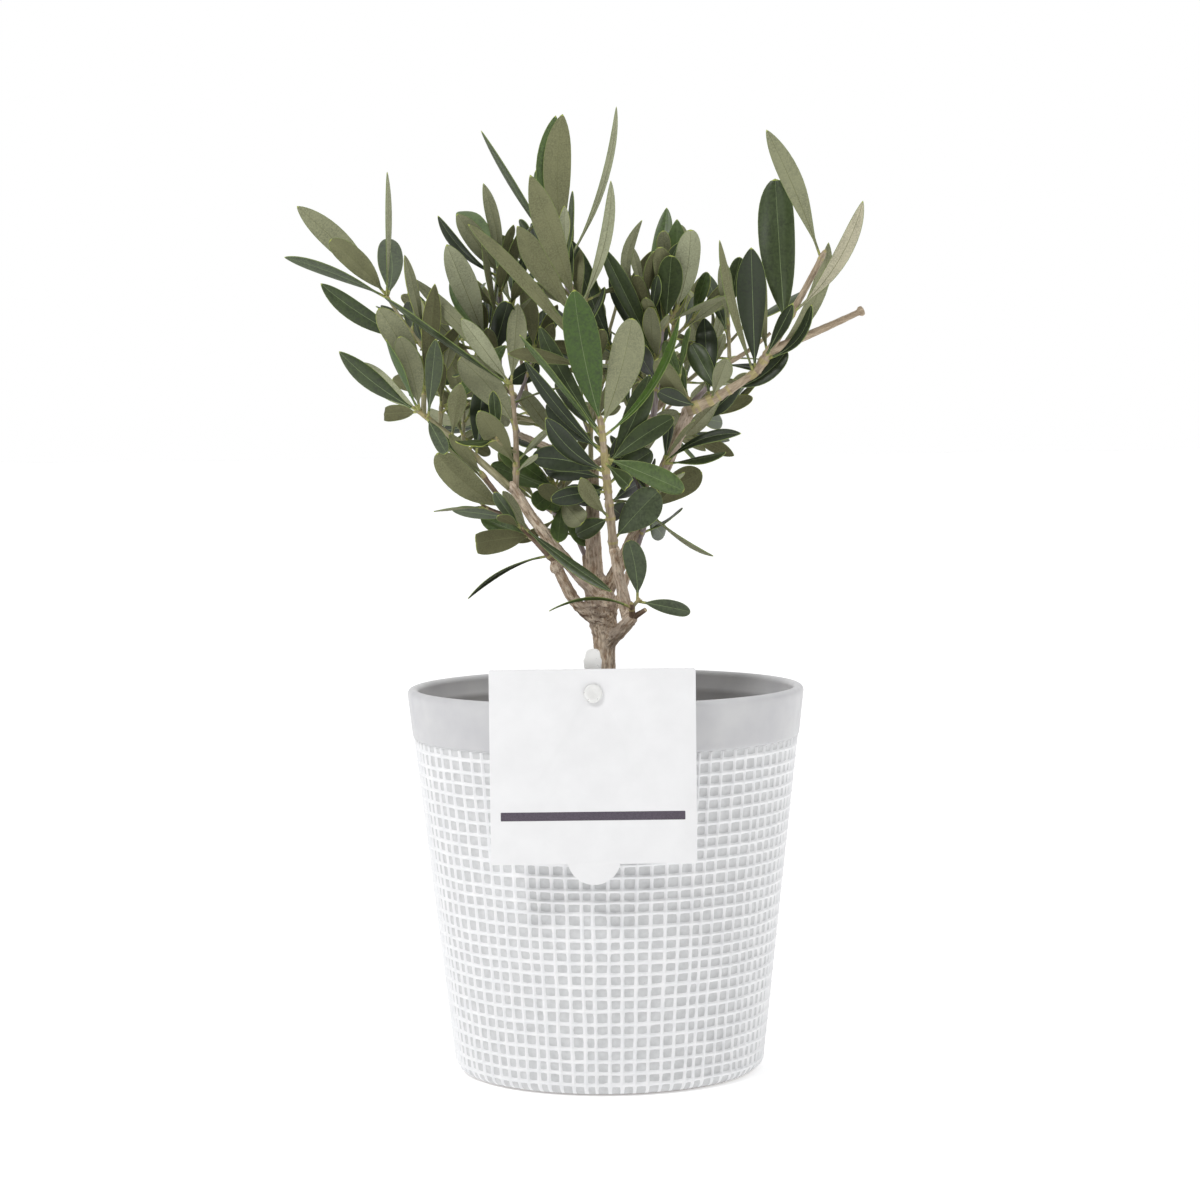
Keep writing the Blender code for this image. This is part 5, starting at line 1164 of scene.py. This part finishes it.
class Crown:
    # grows the limbs, shoots and leaves, and keeps each clear of all that grew before it
    def __init__(self):
        self.grown, self.limbs, self.shoots, self.leaves = [], {}, {}, {}
        self.keep("trunk", 0, loft(trunkRings(), growth["trunkSides"]))
        for path, radius in stubPaths():
            shape = tube(path, radius * growth["stubSwell"], radius, growth["limbSides"], growth["stubSteps"])
            self.keep("trunk", 0, shape)
        for name, bough in boughs.items():
            self.limbs[name] = boughPath(bough), *(thick / 2 for thick in bough["thick"])
            self.keep(name, 0, tube(*self.limbs[name], growth["limbSides"], growth["limbSteps"]))
        for grow in (self.growShoots, self.growNamedLeaves, self.growPairs, self.growFiner):
            for name in masses:
                grow(name)

    def keep(self, owner, mark, shape, room=None):
        whole = BVHTree.FromPolygons(*shape)
        self.grown.append((owner, mark, whole, BVHTree.FromPolygons(*room) if room else whole))

    def isClear(self, name, leaf, near):
        whole, room = BVHTree.FromPolygons(*leaf.shape()), BVHTree.FromPolygons(*leaf.room())
        for owner, mark, otherWhole, otherRoom in self.grown:
            if owner == name:
                if mark not in near and room.overlap(otherRoom):
                    return False
            elif room.overlap(otherWhole) or whole.overlap(otherWhole) or whole.overlap(otherRoom):
                return False
        return True

    def growShoots(self, name):
        mass = masses[name]
        shoots = []
        for n, (on, at, tip, thick, *more) in enumerate(mass["shoots"]):
            tip = Vector(tip)
            if n == 0:
                point, way = self.limbs[mass["bough"]][0](1)
                slant = (tip - point).normalized()
                slant = (slant - way * slant.dot(way)).length
                start = point + way * (growth["gap"] + thick / 2 * slant)
                start += Vector(mass.get("aside", (0, 0, 0)))
                sag = mass.get("bow", growth["stemSag"])
            else:
                start = shoots[on]["path"](at)[0]
                sag = more[0] if len(more) == 1 else growth["shootSag"]
            path = bent(start, tip, sag)
            thin = max(growth["twigTip"], thick / 2 * growth["twigTaper"])
            self.keep(name, n, tube(path, thick / 2, thin, growth["twigSides"], growth["twigSteps"]))
            shoots.append({"path": path, "thick": thick / 2, "thin": thin, "nodes": [],
                           "length": (tip - start).length})
        self.shoots[name], self.leaves[name] = shoots, []

    def nearShoots(self, name, n):
        rows = masses[name]["shoots"]
        return {k for k, row in enumerate(rows) if k in (n, rows[n][0]) or row[0] == n}

    def addLeaf(self, name, leaf, n, t, mark):
        leaf.shoot, leaf.mark = n, mark
        self.shoots[name][n]["nodes"].append(t)
        self.leaves[name].append(leaf)
        self.keep(name, "leaf", leaf.shape(), leaf.room())

    def growNamedLeaves(self, name):
        steps = growth["depthSteps"]
        for k, (on, at, tip, wide, turn, *bend) in enumerate(masses[name].get("leaves", ())):
            at = min(at, growth["leafTop"])
            root = self.shoots[name][on]["path"](at)[0]
            for back, spin in growth["nudges"]:
                end = Vector(tip) + away * (back + steps[k % len(steps)])
                face = frontFace((end - root).normalized(), turn + spin)
                leaf = Leaf(root, end, face, wide, *bend)
                if self.isClear(name, leaf, self.nearShoots(name, on)):
                    self.addLeaf(name, leaf, on, at, k)
                    break

    def growPairs(self, name):
        rng = random.Random(masses[name]["seed"])
        first, last = growth["pairsFrom"], growth["pairsTo"]
        for n, pairs, *habit in bearing(name):
            for k in range(pairs):
                t = last if pairs == 1 else first + (last - first) * k / (pairs - 1)
                for sign in (1, -1):
                    self.growLeaf(name, n, t, pairs - 1 - k, sign, habit, rng)

    def growLeaf(self, name, n, t, below, sign, habit, rng):
        length, turn, opening = habit
        centre, reach = masses[name]["space"]
        point, way = self.shoots[name][n]["path"](t)
        wider = min(growth["openMost"], opening + growth["openMore"] * below)
        for loose in range(1, growth["tries"] + 1):
            around = turn + 90 * below + either(rng, growth["strayTurn"]) * loose
            openBy = wider + either(rng, growth["strayOpening"]) * loose
            go, face = opened(way, sign, around, openBy, growth["lift"])
            size = length * (1 - growth["shorter"] * min(below, growth["shorterFor"]))
            size *= rng.uniform(*growth["sizes"])
            face = Matrix.Rotation(math.radians(either(rng, growth["strayFace"])), 3, go) @ face
            wide = size * rng.uniform(growth["slim"], growth["broad"])
            leaf = Leaf(point, point + go * size, face, wide, rng.uniform(*growth["sags"]))
            if sum(((leaf.tip[i] - centre[i]) / reach[i]) ** 2 for i in range(3)) > 1 or inTheOpen(leaf):
                continue
            if self.isClear(name, leaf, self.nearShoots(name, n)):
                self.addLeaf(name, leaf, n, t, "pair")
                return

    def growFiner(self, name):
        rng = random.Random(masses[name]["seed"] + young["seedShift"])
        if name in young["bare"]:
            return
        for n, _, _, turn, _ in bearing(name):
            self.growTipPair(name, n, rng, rng.uniform(*young["pair"]), turn + 90)
            for t in young["nodes"]:
                if rng.random() < young["share"]:
                    self.growSprig(name, n, t + either(rng, young["shift"]), rng)

    def growTipPair(self, name, n, rng, size, turn, t=1.0, fork=None):
        # fork is the shoot that this sprig stands on
        point, way = self.shoots[name][n]["path"](t)
        for sign in (1, -1):
            for loose in range(1, young["tries"]):
                around = turn + either(rng, young["stray"]) * loose
                go, face = opened(way, sign, around, rng.uniform(*young["opening"]))
                tip = point + go * size * rng.uniform(*young["sizes"])
                leaf = Leaf(point, tip, face, size * young["wide"], young["sag"])
                near = self.nearShoots(name, n if fork is None else fork) | {("sprig", n)}
                if insideReach(leaf) and not inTheOpen(leaf) and self.isClear(name, leaf, near):
                    self.addLeaf(name, leaf, n, t, "young")
                    break

    def growSprig(self, name, n, t, rng):
        # the probe stands for the sprig and its pair of leaves
        point, way = self.shoots[name][n]["path"](t)
        for _ in range(young["tries"]):
            around = Matrix.Rotation(rng.uniform(0, math.tau), 3, way) @ way.orthogonal().normalized()
            go = (way * young["ahead"] + around * young["aside"] + up * young["lift"]).normalized()
            length = rng.uniform(*young["sprig"])
            probe = Leaf(point, point + go * (length + young["room"]), around, young["roomWide"])
            if not insideReach(probe) or inTheOpen(probe):
                continue
            if not self.isClear(name, probe, self.nearShoots(name, n)):
                continue
            path = bent(point, point + go * length, young["bow"])
            thick, thin = young["radii"]
            child = len(self.shoots[name])
            sprig = {"path": path, "thick": thick, "thin": thin, "nodes": [], "length": length}
            self.shoots[name].append(sprig)
            shape = tube(path, *young["keptRadii"], growth["twigSides"], young["keptSteps"])
            self.keep(name, ("sprig", child), shape)
            turn = rng.uniform(0, 180)
            self.growTipPair(name, child, rng, rng.uniform(*young["sprigPair"]), turn, young["pairAt"], n)
            return


crown = Crown()
print("crown:", sum(len(rows) for rows in crown.leaves.values()), "leaves on",
      sum(len(rows) for rows in crown.shoots.values()), "shoots")


# The wood: trunk, stubs and boughs run into one skin, whose bark is ridged along each limb and wrinkled
# where they fork. Scars are (x, y, z, radius) swellings where a branch came off.
wood = {
    "voxel": 0.28, "ease": 5, "sides": 20, "step": 1.2, "swell": 0.10, "swellReach": 3.0, "uneven": 0.05,
    # how far a stub and a limb run on at each end, and what is left of their radius there
    "stubRun": (0.2, 0.6), "limbRun": (1.0, 0.9), "endRadii": (0.96, 0.9),
    # ridges along the limb, weaker where it is thin; wrinkles round it on the trunk and its first stubs
    "ridge": 0.42, "ridgeWide": 1.0, "ridgeMiddle": 0.45, "thinRidge": 0.55, "fullRidgeAt": 3.5,
    "wrinkle": 0.5, "wrinkleAt": 149.0, "wrinkleReach": 7.0, "wrinkled": 8, "farWrinkle": 0.12,
    "wrinkleMiddle": 0.1, "fine": 0.07, "fineWide": 1.9,
    "scars": (
        (-15.6, -3.4, 165.4, 2.3), (2.6, -3.6, 143.2, 2.8), (8.0, -7.2, 148.0, 2.3), (8.9, -7.9, 148.6, 1.8),
        (-3.6, 3.6, 197.8, 2.5), (28.0, 3.0, 215.6, 2.3), (-29.6, -8.0, 192.0, 2.0), (-1.8, 2.5, 161.0, 2.6),
        (3.4, -8.0, 171.0, 1.9), (7.6, -5.6, 149.8, 2.5), (-4, 29.8, 195.8, 2.0)),
}


def barkFinish():
    # living olive bark: matt, grey-brown with paler ridges, pale streaks and mauve-grey patches, and cracked
    # along the limb
    # darker in the grooves and paler on the ridges, by the relief: partly the bark's own darker fissures and
    # paler ridges, and partly painted shade in the grooves and painted light on the ridges
    bark, shader = newFinish("oliveBark", "#8b7a6d", 0.86)
    streak = noiseAt(bark, 0.8, 6.0, None, "along", 0.65)
    patch = noiseAt(bark, 6.0, 3.0, None, "along")
    crack = noiseAt(bark, 0.55, 5.0, None, "along", 0.7)
    relief = addNode(bark, "Attribute", {"attribute_name": "relief"})
    ground = "#a68c72"
    for colour, pattern, *values in (
            ("#e8d8c2", streak, 0.0, 1.0, 0.40, 0.60), ("#b09f91", patch, 0.0, 0.7, 0.42, 0.60),
            # painted shade where the relief sinks into a groove, and painted light where it rises on a ridge
            ("#6a5646", relief, 0.5, 0.0, 0.20, 0.44), ("#dccdb9", relief, 0.0, 0.5, 0.58, 0.80),
            ("#4f3d30", crack, 0.65, 0.0, 0.37, 0.43)):
        ground = mixColours(bark, ground, colour, spread(bark, pattern, *values))
    # cracks that run round the wood where it forks
    fold = spread(bark, noiseAt(bark, 0.7, 5.0, (0.28, 0.28, 1.0), "Object", 0.65), 1.0, 0.0, 0.40, 0.45)
    neck = addNode(bark, "Attribute", {"attribute_name": "neck"})
    across = addNode(bark, "Math", {"operation": "MULTIPLY"}, {0: (fold, "Result"), 1: (neck, "Fac")})
    ground = mixColours(bark, ground, "#5a4234", spread(bark, across, 0.0, 0.8, 0.0, 1.0, "Value"))
    feed(bark, shader, "Base Color", ground, "Color")
    addBump(bark, shader, crack, 0.22)
    return bark


def limbRings(path, startRadius, endRadius, back, on):
    # rings along a limb, run on into what it joins at both ends, with the radius swelling at its root
    length = (path(1)[0] - path(0)[0]).length
    count = max(4, int(length / wood["step"]))
    rings = []
    for k in range(count + 1):
        t = k / count
        point, way = path(t)
        radius = mixed(startRadius, endRadius, t)
        radius *= 1 + wood["swell"] * math.exp(-t * length / wood["swellReach"])
        radius *= 1 + wood["uneven"] * noise.noise(point * 0.21)
        rings.append((point, way, radius))
    first, last = rings[0], rings[-1]
    rootPart, endPart = wood["endRadii"]
    rings.insert(0, (first[0] - first[1] * back, first[1], first[2] * rootPart))
    rings.append((last[0] + last[1] * on, last[1], last[2] * endPart))
    return rings


def alongLimb(point, start, way, far, axis, mark):
    # where a point lies on its limb, for noise that runs along it: across as it is, along squeezed
    off = point - start
    along = off.dot(way)
    return off - way * along + axis * (far + along) * 0.2 + Vector((mark * 17.3, mark * 5.1, 0))


def makeWood():
    stations = trunkRings()
    rings = []
    for low, high in zip(stations, stations[1:]):
        steps = max(1, int((high[0] - low[0]).length))
        rings += [(low[0].lerp(high[0], k / steps), low[1].lerp(high[1], k / steps).normalized(),
                   mixed(low[2], high[2], k / steps)) for k in range(steps)]
    limbs = [rings + stations[-1:]]
    for path, radius in stubPaths():
        limbs.append(limbRings(path, radius * growth["stubSwell"], radius, *wood["stubRun"]))
    limbs += [limbRings(*limb, *wood["limbRun"]) for limb in crown.limbs.values()]
    shapes = [loft(rings, wood["sides"]) for rings in limbs]
    shapes += [ball(row[:3], row[3]) for row in wood["scars"]]
    draft = pieceFrom("woodDraft", *joinShapes(shapes), None, [])
    skin = draft.modifiers.new("skin", "REMESH")
    skin.mode, skin.voxel_size, skin.adaptivity = "VOXEL", wood["voxel"] * mm, 0
    ease = draft.modifiers.new("ease", "SMOOTH")
    ease.factor, ease.iterations = 0.5, wood["ease"]
    mesh = bpy.data.meshes.new_from_object(draft.evaluated_get(bpy.context.evaluated_depsgraph_get()))
    bpy.data.objects.remove(draft)
    samples = []
    for mark, rings in enumerate(limbs):
        far, axis = 0.0, (rings[-1][0] - rings[0][0]).normalized()
        for k, (point, way, radius) in enumerate(rings):
            if k:
                far += (point - rings[k - 1][0]).length
            samples.append((point, way, radius, far, axis, mark))
    tree = KDTree(len(samples))
    for k, sample in enumerate(samples):
        tree.insert(sample[0], k)
    tree.balance()
    coords, moved, reliefs, necks = [], [], [], []
    for vert in mesh.vertices:
        point = vert.co / mm
        best = min(tree.find_n(point, 6), key=lambda hit: hit[2] / samples[hit[1]][2])
        start, way, radius, far, axis, mark = samples[best[1]]
        place = alongLimb(point, start, way, far, axis, mark)
        coords.append(place)
        rough = mixed(wood["thinRidge"], 1.0, min(1.0, radius / wood["fullRidgeAt"]))
        ridge = noise.turbulence(place / wood["ridgeWide"], 4, True)
        lift = -wood["ridge"] * rough * (ridge - wood["ridgeMiddle"])
        # wrinkles are strongest where the trunk forks
        near = math.exp(-(((point.z - wood["wrinkleAt"]) / wood["wrinkleReach"]) ** 2))
        near = near if mark < wood["wrinkled"] else wood["farWrinkle"]
        fold = noise.noise(Vector((point.x * 0.34, point.y * 0.34, point.z * 0.95 + 0.3 * point.x)))
        lift += wood["wrinkle"] * near * (fold - wood["wrinkleMiddle"])
        reliefs.append(0.5 + lift / wood["ridge"])
        necks.append(near)
        lift += wood["fine"] * noise.noise(point * wood["fineWide"])
        moved.append(vert.co + vert.normal * lift * mm)
    for vert, place in zip(mesh.vertices, moved):
        vert.co = place
    layAlong(mesh, coords)
    for part, values in (("relief", reliefs), ("neck", necks)):
        mesh.attributes.new(part, "FLOAT", "POINT").data.foreach_set("value", values)
    mesh.materials.clear()
    mesh.materials.append(barkFinish())
    mesh.name = "barkedLimbs"
    mesh.shade_smooth()
    mesh.update()
    settle(addObject("barkedLimbs", mesh), "bark", "trunk", *boughs)
    print("wood:", len(mesh.polygons), "faces")


makeWood()


# Twigs: ringed young wood with a knuckle at each pair of leaves. Pruned shoots end in a pale cut.
twigs = {
    "sides": 10, "step": 0.9, "knuckle": 0.26, "knuckleReach": 0.9, "ripple": 0.06,
    # a knuckle is yellow from this swelling on, by this chance, and a thin shoot is often green
    "yellowFrom": 0.62, "yellowShare": 0.8, "thinShoot": 0.8, "greenShare": 0.6,
    # how far a stem and a side shoot start back, and the rings that round off a growing tip
    "stemBack": 1.6, "shootBack": 0.2, "tip": ((1.2, 0.8), (2.2, 0.25)), "tipTone": 0.7,
    "bud": 0.62, "budSizes": (0.7, 1.2), "budShape": (0.7, 0.7, 1.5), "budIn": 0.6, "budShare": 0.5,
    # pruned shoots: how much wider each is at its cut, where that starts, and where the shoot ends
    "cuts": {"right_outer_leaves": {2: 1.65}, "right_inner_leaves": {2: 1.1}, "spur_leaves": {0: 1.0},
             "left_upright_leaves": {0: 1.0}}, "cutFrom": 0.93, "cutTo": 0.975,
    "tones": {"left_outer_leaves": 1, "left_upright_leaves": 0, "front_leaves": 0, "right_outer_leaves": 0,
              "centre_right_leaves": 2, "left_back_leaves": 2, "spur_leaves": 3, "low_left_leaves": 3},
}


def twigFinishes():
    # young olive wood: a thin smooth skin, slightly waxy, streaked along the twig
    def skin(name, dark, light, roughness=0.62):
        material, shader = newFinish(name, light, roughness)
        streak = noiseAt(material, 0.8, 4.0, None, "along")
        tintBy(material, shader, dark, light, streak, 0.0, 1.0, 0.36, 0.64)
        addBump(material, shader, noiseAt(material, 0.5, 3.0, None, "along"), 0.07)
        return material

    return [skin("tanTwigSkin", "#8b7963", "#b6a58c"), skin("greenTwigSkin", "#7f7a58", "#a8a280"),
            skin("mauveTwigSkin", "#7d6f6d", "#a5999a"), skin("brownTwigSkin", "#65523f", "#8d7763"),
            skin("yellowKnuckle", "#978a5e", "#b5a877"), skin("cutWood", "#b39b78", "#dccba8", 0.8)]


def makeTwigs(name, finishes):
    rng = random.Random(masses[name]["seed"] + 900)
    shapes, slots, coords = [], [], []
    cuts, sides = twigs["cuts"].get(name, {}), twigs["sides"]
    green, yellow, cutTone = 1, 4, 5
    for n, shoot in enumerate(crown.shoots[name]):
        length = shoot["length"]
        count = max(5, int(length / twigs["step"]))
        tone = twigs["tones"].get(name, rng.choice((0, 1, 2)))
        if shoot["thick"] < twigs["thinShoot"] and rng.random() < twigs["greenShare"]:
            tone = green
        rings, near = [], []
        for k in range(-1, count + 1):
            t = max(k, 0) / count * (twigs["cutTo"] if n in cuts else 1)
            point, way = shoot["path"](t)
            if k < 0:
                point = point - way * (twigs["shootBack"] if n else twigs["stemBack"])
            radius = mixed(shoot["thick"], shoot["thin"], t)
            offs = [(t - at) * length / twigs["knuckleReach"] for at in shoot["nodes"]]
            knuckle = max([math.exp(-(off**2)) for off in offs], default=0.0)
            radius *= 1 + twigs["knuckle"] * knuckle + twigs["ripple"] * noise.noise(point * 0.7)
            if n in cuts and t > twigs["cutFrom"]:
                radius *= cuts[n]
            rings.append((point, way, radius))
            near.append(knuckle)
        if n not in cuts:
            point, way, radius = rings[-1]
            rings += [(point + way * radius * on, way, radius * part) for on, part in twigs["tip"]]
            near += [twigs["tipTone"]] * len(twigs["tip"])
        shape = loft(rings, sides)
        shapes.append(shape)
        swollen = [(low + high) / 2 > twigs["yellowFrom"] for low, high in zip(near, near[1:])]
        slots += [yellow if on and rng.random() < twigs["yellowShare"] else tone
                  for on in swollen for _ in range(sides)]
        slots += [tone, cutTone if n in cuts else tone]
        axis = (rings[-1][0] - rings[0][0]).normalized()
        for k, v in enumerate(shape[0]):
            r = k // sides
            coords.append(alongLimb(v, rings[r][0], rings[r][1], r * twigs["step"], axis, n))
    # a small bud in the axil of each leaf
    wide, deep, long = twigs["budShape"]
    for leaf in crown.leaves[name]:
        if leaf.mark == "young":
            continue
        shoot = crown.shoots[name][leaf.shoot]
        way = (leaf.tip - leaf.root).normalized()
        size = twigs["bud"] * rng.uniform(*twigs["budSizes"])
        out = (way + (shoot["path"](1)[0] - shoot["path"](0)[0]).normalized() * 0.9).normalized()
        centre = leaf.root + out * (max(shoot["thin"], twigs["budIn"]) + size * twigs["budIn"])
        bud, budFaces = ball((0, 0, 0), size, 1)
        turn = out.to_track_quat("Z", "Y").to_matrix()
        bud = [centre + turn @ Vector((v.x * wide, v.y * deep, v.z * long)) for v in bud]
        shapes.append((bud, budFaces))
        slots += [yellow if rng.random() < twigs["budShare"] else green] * len(budFaces)
        coords += bud
    verts, faces = joinShapes(shapes)
    settle(pieceFrom(name.replace("leaves", "twigs"), verts, faces, slots, finishes, coords), "bark", name)
    return len(faces)


# Olive leaves: leathery, dark and waxed above, felted below, with a pale rib and a thin yellowish margin.
blade = {
    "rows": (0.0, 0.04, 0.09, 0.15, 0.22, 0.30, 0.38, 0.46, 0.54, 0.62, 0.70, 0.77, 0.83, 0.88, 0.925, 0.96,
             0.985),
    "stalk": 3.2, "stalkWide": 0.9, "stalkThick": 0.8, "thick": 0.36, "edge": 0.18, "ribWide": 0.24,
    "marginWide": 0.12, "ribRise": 0.2, "ribSink": 0.07, "crease": (0.02, 0.30), "roll": (0.05, 0.30),
    "twist": 18, "untwisted": 0.3, "ripple": 0.10, "lean": 0.14, "waver": 0.03, "widest": 0.62,
    # a leaf this wide for its length is broad; the base, the bluntness and the close of both kinds of outline
    "broadFrom": 0.25, "broadBase": (0.7, 0.9), "broadTip": (2.6, 0.58),
    "slimBase": (0.85, 1.3), "slimBlunt": (1.9, 2.5), "slimClose": 0.82,
    # places across the leaf, from its middle to its margin
    "across": (0.32, 0.64), "otherTone": 0.4,
    # a leaf's tones in these lists are partly painted light and shade: the darker ones paint shade on leaves
    # deep in the crown and the paler ones paint light on leaves that the light catches, over the leaves' own
    # range of colour
    "uppers": {"deepGreen": "#26301b", "oliveGreen": "#364223", "slateGreen": "#444e36",
               "midGreen": "#4a5c31", "freshGreen": "#3a5219"},
    "unders": {"duskFelt": "#626245", "oliveFelt": "#757657", "silverFelt": "#84866a", "paleFelt": "#989b7f",
               "tanFelt": "#aba78f"},
    "trims": {"upperRib": "#6f7e56", "underRib": "#696b47", "greenMargin": "#748446",
              "yellowMargin": "#99a44e", "leafStalk": "#989a5c"},
    # roughness, gleam, size of the stipple, contrast and relief of each side
    "skins": {"uppers": (0.44, 0.45, 0.9, 1.16, 0.03), "unders": (0.76, 0.25, 0.5, 1.10, 0.05),
              "trims": (0.55, 0.4, 0.6, 1.10, 0.03)},
    # leaves that are torn off before their tip, and how far along
    "torn": {"low_left_leaves": {2: 0.93}, "front_leaves": {9: 0.80}, "left_outer_leaves": {3: 0.9}},
}


def scaled(value, part):
    # a hex colour made lighter or darker
    return "#" + "".join(f"{min(255, int(int(value[k:k + 2], 16) * part)):02x}" for k in (1, 3, 5))


def leafFinishes():
    # wax gives the upper side a soft gleam over a fine stipple, and felt leaves the underside pale and matt
    finishes = []
    for names, (roughness, gleam, size, contrast, depth) in blade["skins"].items():
        for name, value in blade[names].items():
            material, shader = newFinish(name, value, roughness, **{"Specular IOR Level": gleam})
            stipple = noiseAt(material, size, 3.0)
            dark, light = scaled(value, 2 - contrast), scaled(value, contrast)
            tint = mixColours(material, dark, light, spread(material, stipple, 0.0, 1.0, 0.35, 0.65))
            tintBy(material, shader, tint, light, noiseAt(material, 7.0, 2.0), 0.0, 0.55, 0.42, 0.62)
            glossBy(material, shader, stipple, roughness - 0.06, roughness + 0.1)
            addBump(material, shader, stipple, depth)
            finishes.append(material)
    return finishes


def halfWidth(u, base, blunt, close):
    # widest past the middle: base draws out the root's end, blunt and close round off the tip
    widest = blade["widest"]
    if u < widest:
        return math.sin(math.pi / 2 * u / widest) ** base
    return max(0.0, 1 - ((u - widest) / (1 - widest)) ** blunt) ** close


def leafOutline(leaf, length, rng):
    if leaf.wide / length > blade["broadFrom"]:
        return rng.uniform(*blade["broadBase"]), *blade["broadTip"]
    return rng.uniform(*blade["slimBase"]), rng.uniform(*blade["slimBlunt"]), blade["slimClose"]


def drawLeaf(leaf, rng, tones, torn, verts, faces, slots):
    # rows of rings: the upper side across, then the underside back; the last ring closes on the tip
    length = (leaf.tip - leaf.root).length
    stalk = min(blade["stalk"] / length, growth["stalk"])
    crease, roll = rng.uniform(*blade["crease"]), rng.uniform(*blade["roll"])
    twist = math.radians(either(rng, 1) * blade["twist"])
    phase, ripple = rng.uniform(0, 6), rng.uniform(0.0, blade["ripple"])
    lean = either(rng, blade["lean"])
    outline = leafOutline(leaf, length, rng)
    # each level has its place along the rib, and along the blade if it is past the stalk
    levels = [(0.0, None), (stalk * 0.5, None)] + [(stalk + (1 - stalk) * u, u) for u in blade["rows"]]
    if torn:
        levels = [row for row in levels if row[0] < torn]
    near, far = blade["across"]
    base = len(verts)
    for t, u in levels:
        centre = leaf.rib(t)
        way = (leaf.tip - leaf.root + leaf.bend * (4 - 8 * t)).normalized()
        side = way.cross(leaf.face).normalized()
        turn = Matrix.Rotation(twist * (t - blade["untwisted"]), 3, way)
        side, face = turn @ side, turn @ side.cross(way)
        half, part, along = blade["stalkWide"] / 2, 0.0, u or 0
        if u is not None:
            half = max(half * (1 - u), leaf.wide / 2 * halfWidth(u, *outline))
            half *= 1 + blade["waver"] * math.sin(7 * u + phase)
            part = min(1.0, u * 9)
        thin = 1 - 0.6 * along
        margin, rib = min(blade["marginWide"] / half, 0.3), min(blade["ribWide"] * thin / 2 / half, 0.25)
        across = (-1, margin - 1, -far, -near, -rib, rib, near, far, 1 - margin, 1)
        for below in (False, True):
            for v in (reversed(across) if below else across):
                lift = crease * abs(v) - roll * abs(v) ** 3 + ripple * math.sin(9 * along + phase) * v
                flat = mixed(blade["thick"], blade["edge"], v * v) / 2
                thick = mixed(blade["stalkThick"] / 2 * math.sqrt(max(0.0, 1 - v * v)) + 0.02, flat, part)
                onRib = u is not None and abs(v) <= rib
                if below:
                    thick = -thick - (blade["ribRise"] * part * (1 - u) ** 0.6 if onRib else 0)
                elif onRib:
                    thick -= blade["ribSink"] * part
                wide = half * (1 + lean * (1 if v > 0 else -1) * math.sin(math.pi * along))
                verts.append(centre + side * (wide * v) + face * (half * part * lift + thick))
    upper, under, trim = tones
    under += len(blade["uppers"])
    trims = len(blade["uppers"]) + len(blade["unders"])
    edge, yellow, stalkTone = trims + trim, trims + 3, trims + 4
    kinds = [edge] + [upper] * 3 + [trims] + [upper] * 3 + [edge] * 3
    kinds += [under] * 3 + [trims + 1] + [under] * 3 + [edge] * 2
    ring = len(kinds)
    faces += quads(len(levels), ring, base)
    for t, u in levels[1:]:
        slots += [stalkTone] * ring if (u or 0) < 0.02 else kinds
    faces.append(tuple(range(base + ring - 1, base - 1, -1)))
    slots.append(stalkTone)
    last = len(verts) - ring
    if torn:
        faces.append(tuple(range(last, last + ring)))
        slots.append(yellow)
    else:
        verts.append(leaf.rib(1.0))
        faces += [(last + j, last + (j + 1) % ring, len(verts) - 1) for j in range(ring)]
        slots += [yellow] * ring


def makeLeaves(name, finishes):
    rng = random.Random(masses[name]["seed"] + 700)
    sprays = {n: (rng.choice((0, 0, 1, 1, 2, 3)), rng.choice((0, 1, 1, 2, 2, 3)), rng.choice((2, 2, 3)))
              for n in range(len(crown.shoots[name]))}
    verts, faces, slots = [], [], []
    for leaf in crown.leaves[name]:
        upper, under, trim = sprays[leaf.shoot]
        if rng.random() < blade["otherTone"]:
            upper = min(3, max(0, upper + rng.choice((-1, 1))))
            under = min(3, max(0, under + rng.choice((-1, 1))))
        if leaf.mark == "young":
            upper, under = rng.choice((0, 1, upper)), rng.choice((0, 1, under))
        # a listed leaf takes its own tones: painted light where the light catches it, painted shade deep in
        # the crown
        elif leaf.tones:
            upper, under = leaf.tones
        torn = blade["torn"].get(name, {}).get(leaf.mark)
        drawLeaf(leaf, rng, (upper, under, trim), torn, verts, faces, slots)
    piece = pieceFrom(name.replace("leaves", "blades"), verts, faces, slots, finishes)
    settle(piece, "foliage", name)
    return len(faces)


twigSkins, leafSkins = twigFinishes(), leafFinishes()
for name in masses:
    print(name, "twig faces", makeTwigs(name, twigSkins), "leaf faces", makeLeaves(name, leafSkins))
